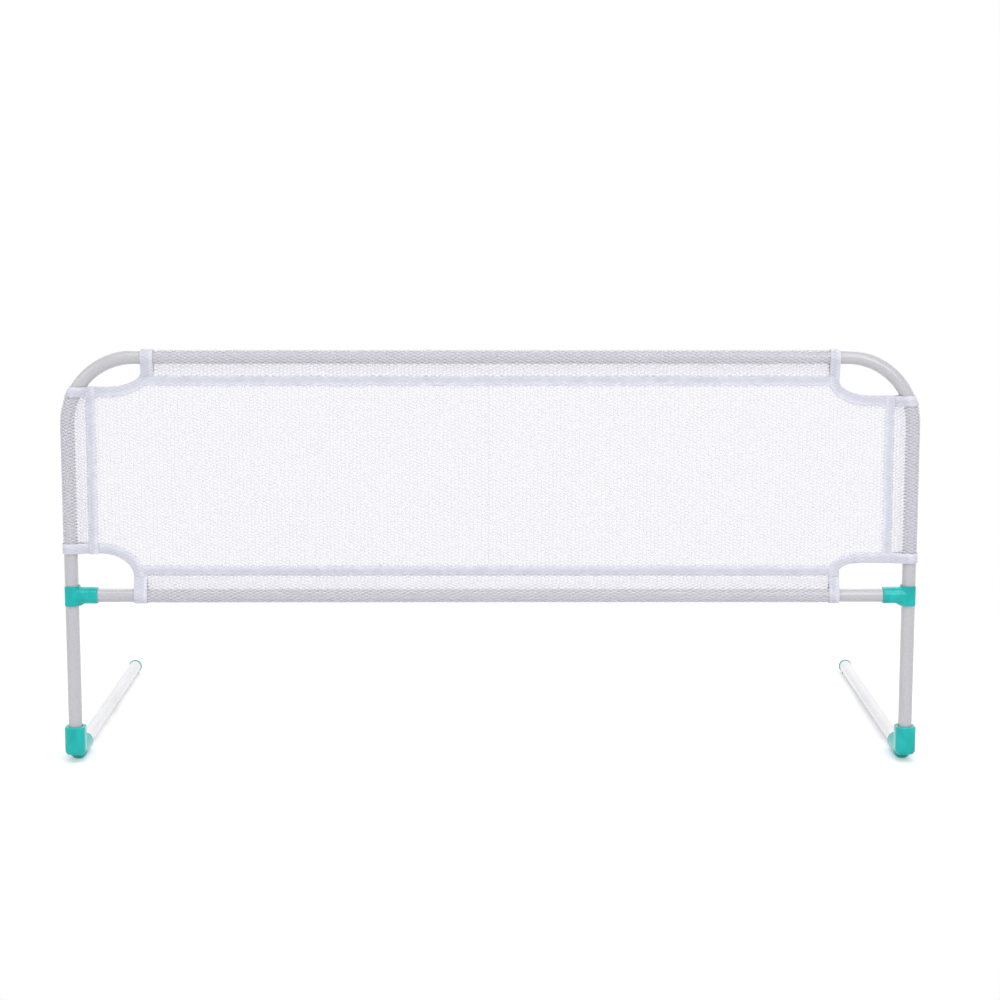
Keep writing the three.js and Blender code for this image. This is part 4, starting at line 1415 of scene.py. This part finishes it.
def tube_place(tube, along, inward, crossways):
    """Points from their places along, inward from and across a tube, be it level or upright."""
    if on_upright(tube):
        side = -1 if tube == "left" else 1
        return np.stack([side * (upright_x - inward), rail_plane + crossways, along], axis=-1)
    height = top_height - inward if tube == "top" else cross_height + inward
    return np.stack([along, rail_plane + crossways, height], axis=-1)


def wrap_slice(tube, along, around, lift):
    """Inward and crossways places of points round a tube, lifted off it."""
    rise = np.maximum(along - bend_height, 0) if on_upright(tube) else np.zeros_like(along)
    here = wrap_at(rise, around)
    ahead = wrap_at(rise, around + wrap_step) - wrap_at(rise, around - wrap_step)
    length = np.maximum(np.linalg.norm(ahead, axis=1), wrap_step / 100)[:, None]
    outwards = np.stack([-ahead[:, 1], ahead[:, 0]], axis=-1) / length
    return (here + outwards * lift[:, None]).T


def wrap_point(tube, along, around, lift):
    """Points on the wrap round a tube."""
    return tube_place(tube, along, *wrap_slice(tube, along, around, lift))


# %% The four net sleeves
sleeve_hidden = 5 * mm
binding_width = 12 * mm
seam_hidden = 6 * mm
half_wrap = wrap_outline(0)[1][-1] - tail
slack_size = 0.3 * mm
steepest_cut = 0.95
sleeve_ends = {
    "top": (-corners["top_left"].edge_x, corners["top_right"].edge_x),
    "bottom": (-corners["bottom_left"].edge_x, corners["bottom_right"].edge_x),
    "left": (corners["bottom_left"].edge_z, corners["top_left"].edge_z),
    "right": (corners["bottom_right"].edge_z, corners["top_right"].edge_z),
}


def cut_shift(inward, corner):
    """How much further a level sleeve reaches where its end starts to follow the corner's curve."""
    share = np.clip((inward - corner.drop) / corner.rise, 0, steepest_cut)
    return corner.width * (1 - np.sqrt(1 - share**2))


def in_sleeve(tube, start, end):
    """Which holes one sleeve keeps."""
    ends = [corner for corner in corners.values() if corner.level == tube]

    def keep(u, v):
        if on_upright(tube):
            return (v > start + sleeve_hidden) & (v < end - sleeve_hidden)
        inside = np.ones(len(u), bool)
        inward = wrap_at(np.zeros(len(u)), v)[:, 0]
        for corner in ends:
            reach = corner.edge_x + cut_shift(inward, corner)
            inside = inside & (corner.side * u < reach - sleeve_hidden)
        return inside

    return keep


def lay_sleeve(tube):
    """How a sleeve lays flat points round its tube; rows of holes stay level on uprights too."""
    upright = on_upright(tube)

    def lay(u, v, lift):
        moved_u, moved_v = drifted(u, v, phase_of(tube))
        along, around = (moved_v, moved_u) if upright else (moved_u, moved_v)
        free = np.clip((np.abs(around) - half_wrap / 3) / (half_wrap / 3), 0, 1)
        slack = slack_size * free * waves(along, around, drift_lengths, phase_of(tube) + 1)
        return wrap_point(tube, along, around, lift + slack)

    return lay


for tube, (start, end) in sleeve_ends.items():
    reach = half_wrap + seam_hidden
    run = (start, end) if on_upright(tube) else (start - binding_width, end + binding_width)
    low = (-reach, run[0]) if on_upright(tube) else (run[0], -reach)
    high = (reach, run[1]) if on_upright(tube) else (run[1], reach)
    keep, lay = in_sleeve(tube, start, end), lay_sleeve(tube)
    sleeve_piece = net_cloth(f"{tube}_sleeve_net", low, high, sleeve_hole, keep, lay)
    # Its net is painted a little lighter, to lift the shade between the sleeve's two layers.
    dress(sleeve_piece, "panel", sleeve_net_painted_lighter, f"{tube}_sleeve", slot="net_fabric")
    area = cloth_area(sleeve_piece.data)

# %% [markdown]
# ## Hem tapes
# A narrow woven tape is sewn over each seam on the front. It is swept from a thin section with
# round edges, and it wavers slightly, as sewn tape does. The upright tapes lie over the corner
# bindings, apart from one end that is tucked in under its binding.

# %% Tapes along the seams
tape_width = 11.2 * mm
tape_lead = 1.1 * mm
bottom_tape_lag = 1.5 * mm
tape_starts = dict.fromkeys(sleeve_ends, seam_reach - tape_lead)
tape_starts["bottom"] = seam_reach + bottom_tape_lag
tape_thickness = 0.8 * mm
tape_front = 1.2 * mm
tape_waver = 0.45 * mm
tape_lengths = (143 * mm, 67 * mm, 31 * mm)
tape_station = 3 * mm
tape_over = 0.7 * mm
tape_rise = 1.35 * mm
tape_ease = 5 * mm
tucked_tape = "right"
edge_steps = 4


def flat_section(width, thickness):
    """Section of a tape as places across it and through it, with round edges."""
    radius = thickness / 2
    places = []
    for edge in (1, -1):
        for step in range(edge_steps + 1):
            angle = QUARTER * (2 * step / edge_steps - edge)
            middle = edge * (width / 2 - radius)
            places.append((middle + radius * math.cos(angle), radius * math.sin(angle)))
    return np.array(places)


def tape_point(tube, along, across, depth):
    """Points on a hem tape; across runs from the seam towards the panel's middle."""
    phase = phase_of(tube)
    waver = tape_waver * waves(along, 0 * along, tape_lengths, phase)
    ripple = tape_waver * waves(along, 0 * along, tape_lengths, phase + 3) / 3
    inward = tape_starts[tube] + tape_width / 2 + across + waver
    over_binding = 0
    if on_upright(tube):
        start, end = sleeve_ends[tube]
        near = end - along if tube == tucked_tape else np.minimum(along - start, end - along)
        over_binding = tape_rise * np.clip((binding_width + tape_ease - near) / tape_ease, 0, 1)
    return tube_place(tube, along, inward, ripple - tape_front - depth - over_binding)


def tape_under(corner):
    """How far a level tape runs past its sleeve's end, to stop hidden under the binding."""
    start = tape_starts[corner.level]
    outer = cut_shift(start, corner)
    share = max(0, (start + tape_width - corner.drop) / (corner.rise + binding_width))
    inner = corner.width - (corner.width + binding_width) * math.sqrt(1 - share**2)
    return (inner + outer) / 2


def hem_tape(tube, start, end):
    """One tape from a start to an end along its seam."""
    stations = np.linspace(start, end, int((end - start) / tape_station))
    section = flat_section(tape_width, tape_thickness)
    ones = np.ones(len(section))
    rings = [tape_point(tube, s * ones, section[:, 0], section[:, 1]) for s in stations]
    return skin(f"{tube}_hem_tape_woven", rings)


tape_ends = {}
for tube, (start, end) in sleeve_ends.items():
    passed = [tape_over, tape_over]
    if not on_upright(tube):
        passed = [tape_under(corners[f"{tube}_{label}"]) for _, label in SIDES]
    if tube == tucked_tape:
        passed[0] = -binding_width / 2
    tape_ends[tube] = (start - passed[0], end + passed[1])
    tape_piece = hem_tape(tube, *tape_ends[tube])
    dress(tape_piece, "panel", tape_fabric, f"{tube}_hem_tape")

# %% [markdown]
# ## Corner bindings
# One strip of the same tape closes each corner's raw edges: it wraps the two sleeve ends beside
# the corner and folds over the curved edge between them. The wraps reuse the sleeve's own drop
# shape, lifted by the net's thickness, and the fold is swept along the quarter of an ellipse.
# Joined, they read as one sewn strip.

# %% Wraps round the sleeve ends and the folded curve
binding_thickness = 0.65 * mm
binding_lift = 0.7 * mm
binding_end = 2 * mm
loose_wraps = {"top_left": 14.5 * mm, "bottom_left": 15.5 * mm}
wrap_stations = 72
turn_steps = 10
fold_half = 1.3 * mm
fold_extra = 0.8 * mm
fold_steps = 30
fold_straight = 6
# Each pair is a share of the strip's width from the cut and a share of its half thickness.
fold_section = [(1, 0.6), (0.985, 0.9), (0.95, 1), (0.7, 1.03)]
fold_section += [(0.4, 1.03), (0.16, 1), (0.06, 0.8), (0, 0.4)]


def seam_distance(tube, along):
    """Distance round the tube from its far side to the seam, at several places along it."""
    rises = np.asarray(along) - bend_height if on_upright(tube) else np.zeros(len(along))
    return np.array([wrap_outline(rise)[1][-1] - tail for rise in rises])


def cut_end(tube, corner):
    """Where a sleeve is cut along its tube, and which way is out of it there."""
    if on_upright(tube):
        return corner.edge_z, corner.up
    return corner.side * corner.edge_x, corner.side


def following(tube, corner, inward):
    """Shift along the tube that keeps a band on a cut which turns into the corner's curve."""
    return 0 if on_upright(tube) else corner.side * cut_shift(inward, corner)


def wrap_width(tube, corner):
    """Width of the strip round a sleeve's end, a little open round the level ones' left ends."""
    return binding_width if on_upright(tube) else loose_wraps.get(corner.name, binding_width)


def end_wrap(tube, corner):
    """Band of binding round one sleeve end: round the tube, past the seam and back to itself."""
    width = wrap_width(tube, corner)
    section = flat_section(width, binding_thickness)
    edge, outwards = cut_end(tube, corner)
    along = edge - outwards * width / 2 + section[:, 0]
    half = seam_distance(tube, along) + binding_end
    slices = []
    for share in np.linspace(-1, 1, wrap_stations):
        slices.append(wrap_slice(tube, along, share * half, binding_lift + section[:, 1]))
    turn_centre = slices[-1][0]
    radius = layer_gap + binding_lift + section[:, 1]
    for step in range(1, turn_steps):
        angle = QUARTER - math.pi * step / turn_steps
        slices.append((turn_centre + radius * math.cos(angle), radius * math.sin(angle)))
    rings = []
    for inward, crossways in slices:
        shift = following(tube, corner, inward.mean())
        rings.append(tube_place(tube, along + shift, inward, crossways))
    return skin("wrap", rings, looped=True)


def fold_stations(corner):
    """Stations along the folded edge, from the level sleeve's seam to the upright's."""
    ahead = (seam_reach - corner.drop) / corner.rise
    lead = max(0, corner.drop - seam_reach)
    straight = upright_x - seam_reach - corner.centre_x
    stations = [(0, 0, gap) for gap in np.linspace(lead, 0, fold_straight)[:-1]] if lead else []
    turns = np.linspace(math.asin(max(0, ahead)), QUARTER, fold_steps)
    stations += [(angle, 0, 0) for angle in turns]
    return stations + [(QUARTER, run, 0) for run in np.linspace(0, straight, fold_straight)[1:]]


def fold_point(corner, station, growth, depth):
    """A point of the folded edge; growth runs from the cut into the cloth."""
    angle, run, gap = station
    x = corner.centre_x - (corner.width + growth) * math.cos(angle) + run
    z = corner.centre_z + corner.up * (gap - (corner.rise + growth) * math.sin(angle))
    return (corner.side * x, rail_plane + depth, z)


def fold_halves(stations):
    """Half thickness at each station: thin on the panel, thicker towards the sleeves' seams."""
    shares = np.linspace(-1, 1, len(stations))
    return fold_half + fold_extra * np.abs(shares)


def edge_fold(corner):
    """Strip folded over the curved edge."""
    stations = fold_stations(corner)
    rings = []
    for station, half in zip(stations, fold_halves(stations)):
        front = [fold_point(corner, station, w * binding_width, -h * half) for w, h in fold_section]
        back = [fold_point(corner, station, w * binding_width, h * half) for w, h in fold_section]
        rings.append(front + back[::-1])
    return skin("fold", rings)


def corner_binding(corner):
    """The whole strip of one corner."""
    whole = edge_fold(corner)
    whole.name = f"{corner.name}_binding_sewn"
    return carved(whole, joins=[end_wrap(corner.level, corner), end_wrap(corner.label, corner)])


for corner in corners.values():
    binding_piece = corner_binding(corner)
    dress(binding_piece, "panel", tape_fabric, f"{corner.name}_binding")
    flat_area = cloth_area(binding_piece.data)

# %% [markdown]
# ## Stitches
# Lockstitches hold the tapes and bindings. Each stitch is a small rounded length of thread half
# sunk in the cloth. One stitch is shaped once and repeated along its line by matrix arithmetic,
# which makes thousands of them quick to build.

# %% Rows of stitches
stitch_length = 2.5 * mm
stitch_pitch = 3.2 * mm
thread_radius = 0.24 * mm
stitch_sides = 6
tape_rows = 0.34
# Each pair is a share of a stitch's length and a share of its thread's radius.
stitch_rings = np.array([(-0.5, 0.3), (-0.36, 1), (0.36, 1), (0.5, 0.3)])


def stitch_shape():
    """Vertices and faces of one stitch along X, lying on the XY plane."""
    rings = []
    for share, swell in stitch_rings:
        centre = (share * stitch_length, 0, 0)
        rings.append(circle(centre, (0, 1, 0), (0, 0, 1), thread_radius * swell, stitch_sides))
    grid = np.arange(len(rings) * stitch_sides).reshape(len(rings), stitch_sides)
    faces = ring_quads(grid)
    return np.vstack(rings), faces, (grid[0][::-1], grid[-1])


def facing_out(facing, count):
    """The same way outwards, to the back or to the front, for every point of a line."""
    return np.tile((0.0, facing, 0.0), (count, 1))


def sew(name, lines):
    """One mesh of all the stitches along several lines of points and their ways outwards."""
    shape, quads, caps = stitch_shape()
    vertices, faces, count = [], [], 0
    for points, outwards in lines:
        travelled = distances(points)
        spots = np.arange(stitch_pitch / 2, travelled[-1] - stitch_pitch / 2, stitch_pitch)
        centres = read_along(spots, travelled, points)
        ahead = read_along(spots + stitch_pitch / 4, travelled, points) - centres
        ahead /= np.linalg.norm(ahead, axis=1)[:, None]
        out = read_along(spots, travelled, outwards)
        over_it = np.cross(out, ahead)
        placed = shape[None, :, 0:1] * ahead[:, None] + shape[None, :, 1:2] * over_it[:, None]
        placed = placed + shape[None, :, 2:3] * out[:, None] + centres[:, None]
        for stitch in placed:
            vertices.append(stitch)
            faces += (quads + count).tolist() + [(cap + count).tolist() for cap in caps]
            count += len(shape)
    return add_mesh(name, np.vstack(vertices).tolist(), faces, sharp=None)


seam_back = -tape_front - layer_gap - strand_thickness / 2


def tape_lines(tube):
    """Two rows on the front of a tape and two on the back of its seam."""
    start, end = tape_ends[tube]
    trim = stitch_pitch if on_upright(tube) else binding_width
    along = np.arange(start + trim, end - trim, stitch_pitch / 2)
    lines = []
    for across in (-tape_rows, tape_rows):
        spots = np.full(len(along), across * tape_width)
        for facing in (-1, 1):
            depth = tape_thickness / 2 if facing < 0 else seam_back
            points = tape_point(tube, along, spots, np.full(len(along), depth))
            lines.append((points, facing_out(facing, len(along))))
    return lines


for tube in sleeve_ends:
    sewn = sew(f"{tube}_hem_stitches", tape_lines(tube))
    dress(sewn, "panel", sewing_thread, slot="tape_fabric")

# %% Stitches on the corner bindings
row_share = 0.8


def wrap_lines(tube, corner):
    """A row round one sleeve end."""
    edge, outwards = cut_end(tube, corner)
    middle = edge - outwards * row_share * wrap_width(tube, corner)
    half = seam_distance(tube, [middle])[0]
    around = np.arange(-half, half, stitch_pitch / 2)
    lift = np.full(len(around), binding_lift + binding_thickness / 2)
    ends = []
    for raised in (lift, lift + mm):
        inward, crossways = wrap_slice(tube, middle + 0 * around, around, raised)
        shift = following(tube, corner, inward)
        ends.append(tube_place(tube, middle + shift + 0 * around, inward, crossways))
    return ends[0], (ends[1] - ends[0]) / mm


def fold_lines(corner):
    """A row on each face of the folded curve."""
    lines = []
    growth, stations = row_share * binding_width, fold_stations(corner)
    for facing in (-1, 1):
        depths = facing * fold_halves(stations)
        points = [fold_point(corner, s, growth, depth) for s, depth in zip(stations, depths)]
        lines.append((np.array(points), facing_out(facing, len(points))))
    return lines


for corner in corners.values():
    rows = fold_lines(corner) + [wrap_lines(corner.level, corner), wrap_lines(corner.label, corner)]
    sewn = sew(f"{corner.name}_binding_stitches", rows)
    dress(sewn, "panel", sewing_thread, slot="tape_fabric")

# %% [markdown]
# ## The camera
# The photograph looks at the rail from the front and a little above. A camera fitted to the
# uprights, the rail and the leg ends gives its distance, height and tilt; the lens follows from
# the same fit.

# %% Camera
camera_lens, camera_sensor, camera_range = 84.53, 36, 50
camera_distance = 2.7102
camera_place = (-0.0002, rail_plane - camera_distance, 0.7204)
camera_tilt = math.radians(8.549)
camera_turn = math.radians(-0.239)
camera_roll = math.radians(-0.025)
camera = add_object("camera", bpy.data.cameras.new("camera"))
camera.data.sensor_width = camera_sensor
camera.data.lens = camera_lens
camera.data.clip_end = camera_range
camera.location = camera_place
turned_to = Matrix.Rotation(camera_turn, 4, "Z") @ Matrix.Rotation(QUARTER - camera_tilt, 4, "X")
camera.rotation_euler = (turned_to @ Matrix.Rotation(-camera_roll, 4, "Z")).to_euler()
bpy.context.scene.camera = camera
print("camera", [round(value, 3) for value in camera.location])

# %% [markdown]
# ## Floor and light
# The rail stands on a pale seamless floor in soft, even studio light. The world gives most of it,
# a large lamp from the front and right models the tubes, and a weaker one fills from the left. A
# long narrow lamp above draws the fine bright line along the level tubes, and one behind lights
# the legs. For the camera, and for what glossy surfaces mirror, the background is plain white.

# %% Floor
floor_half = 12
floor_lift = -0.4 * mm
floor_glow = 0.22
shadow_reach = (0.55, 1.1)


def seen_directly(tree):
    """1 for what the camera, a glossy surface or a clear one sees, 0 for light on things."""
    path = add_node(tree, "ShaderNodeLightPath").outputs
    seen = maths(tree, "MAXIMUM", path["Is Camera Ray"], path["Is Glossy Ray"])
    return maths(tree, "MAXIMUM", seen, path["Is Transmission Ray"])


def make_floor_finish():
    """Pale matt floor that shows white and still takes the rail's shadow close to it."""
    finish, tree, shader = start_finish("floor", {"Roughness": 0.9, "Specular IOR Level": 0.1})
    cloud = noise(tree, scale=3, detail=2)
    shade = between(tree, cloud, low=0.3, high=0.7, to_low=0.995)
    tree.links.new(shaded(tree, srgb(236, 236, 237), shade), shader.inputs["Base Color"])
    seen = seen_directly(tree)
    glow_strength = maths(tree, "MULTIPLY", seen, floor_glow)
    glow = add_node(tree, "ShaderNodeEmission", {"Strength": glow_strength})
    lit = add_node(tree, "ShaderNodeAddShader", {0: shader.outputs[0], 1: glow.outputs[0]})
    length = add_node(tree, "ShaderNodeVectorMath", {0: own_place(tree)}, operation="LENGTH")
    far = between(tree, length.outputs["Value"], *shadow_reach)
    far = maths(tree, "MULTIPLY", far, seen)
    plain = add_node(tree, "ShaderNodeEmission", {"Strength": 1.0})
    both = add_node(tree, "ShaderNodeMixShader", {0: far, 1: lit.outputs[0], 2: plain.outputs[0]})
    tree.links.new(both.outputs[0], tree.nodes["Material Output"].inputs["Surface"])
    return finish


floor_ring = [(-1, -1), (1, -1), (1, 1), (-1, 1)]
floor_corners = [(x * floor_half, y * floor_half, floor_lift) for x, y in floor_ring]
floor = add_mesh("floor", floor_corners, [(0, 1, 2, 3)])
floor.data.materials.append(make_floor_finish())
floor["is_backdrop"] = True


# %% World and lamps
WHITE = (1, 1, 1, 1)
world_strength = 0.66
# Each lamp has its place and its two sizes in metres, then its power in watts.
lamps = {
    "front_lamp": ((1.6, -3.2, 2.2), (2.2, 2.2), 45),
    "strip_lamp": ((0.1, -1.45, 2.5), (2.8, 0.22), 17),
    "fill_lamp": ((-2.8, -1.8, 1.6), (2, 2), 18),
    "back_lamp": ((0.2, 2.2, 2.4), (2.4, 2.4), 32),
}
lamp_aim = Vector((0, rail_plane, 0.25))


def make_world():
    """Even light all round that shows plain white to the camera."""
    world = bpy.data.worlds.new("studio")
    world.use_nodes = True
    tree = world.node_tree
    tree.nodes.remove(tree.nodes["Background"])
    light, white = [
        add_node(tree, "ShaderNodeBackground", {"Color": WHITE, "Strength": strength}).outputs[0]
        for strength in (world_strength, 1)
    ]
    pick = add_node(tree, "ShaderNodeMixShader", {0: seen_directly(tree), 1: light, 2: white})
    tree.links.new(pick.outputs[0], tree.nodes["World Output"].inputs["Surface"])
    bpy.context.scene.world = world


def add_lamp(name, place, size, power):
    """A soft lamp with its size in metres and its power in watts, aimed at the rail."""
    data = bpy.data.lights.new(name, "AREA")
    data.shape = "RECTANGLE"
    data.size, data.size_y = size
    data.energy = power
    lamp = add_object(name, data)
    lamp.location = place
    lamp.rotation_euler = (lamp_aim - Vector(place)).to_track_quat("-Z", "Y").to_euler()


make_world()
for name, lamp in lamps.items():
    add_lamp(name, *lamp)
bpy.context.scene.view_settings.view_transform = "Standard"

# %% [markdown]
# ## Sizes and the finish
# Both boxes, of the solids and of the dressed rail, are printed in millimetres. The dressed rail
# has to stay inside the solids' box, apart from a little fabric.

# %% Print both boxes and finish
low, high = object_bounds()
for label, size in (("solids", cad_high - cad_low), ("dressed", high - low)):
    print(label, [round(value / mm, 1) for value in size], "mm")
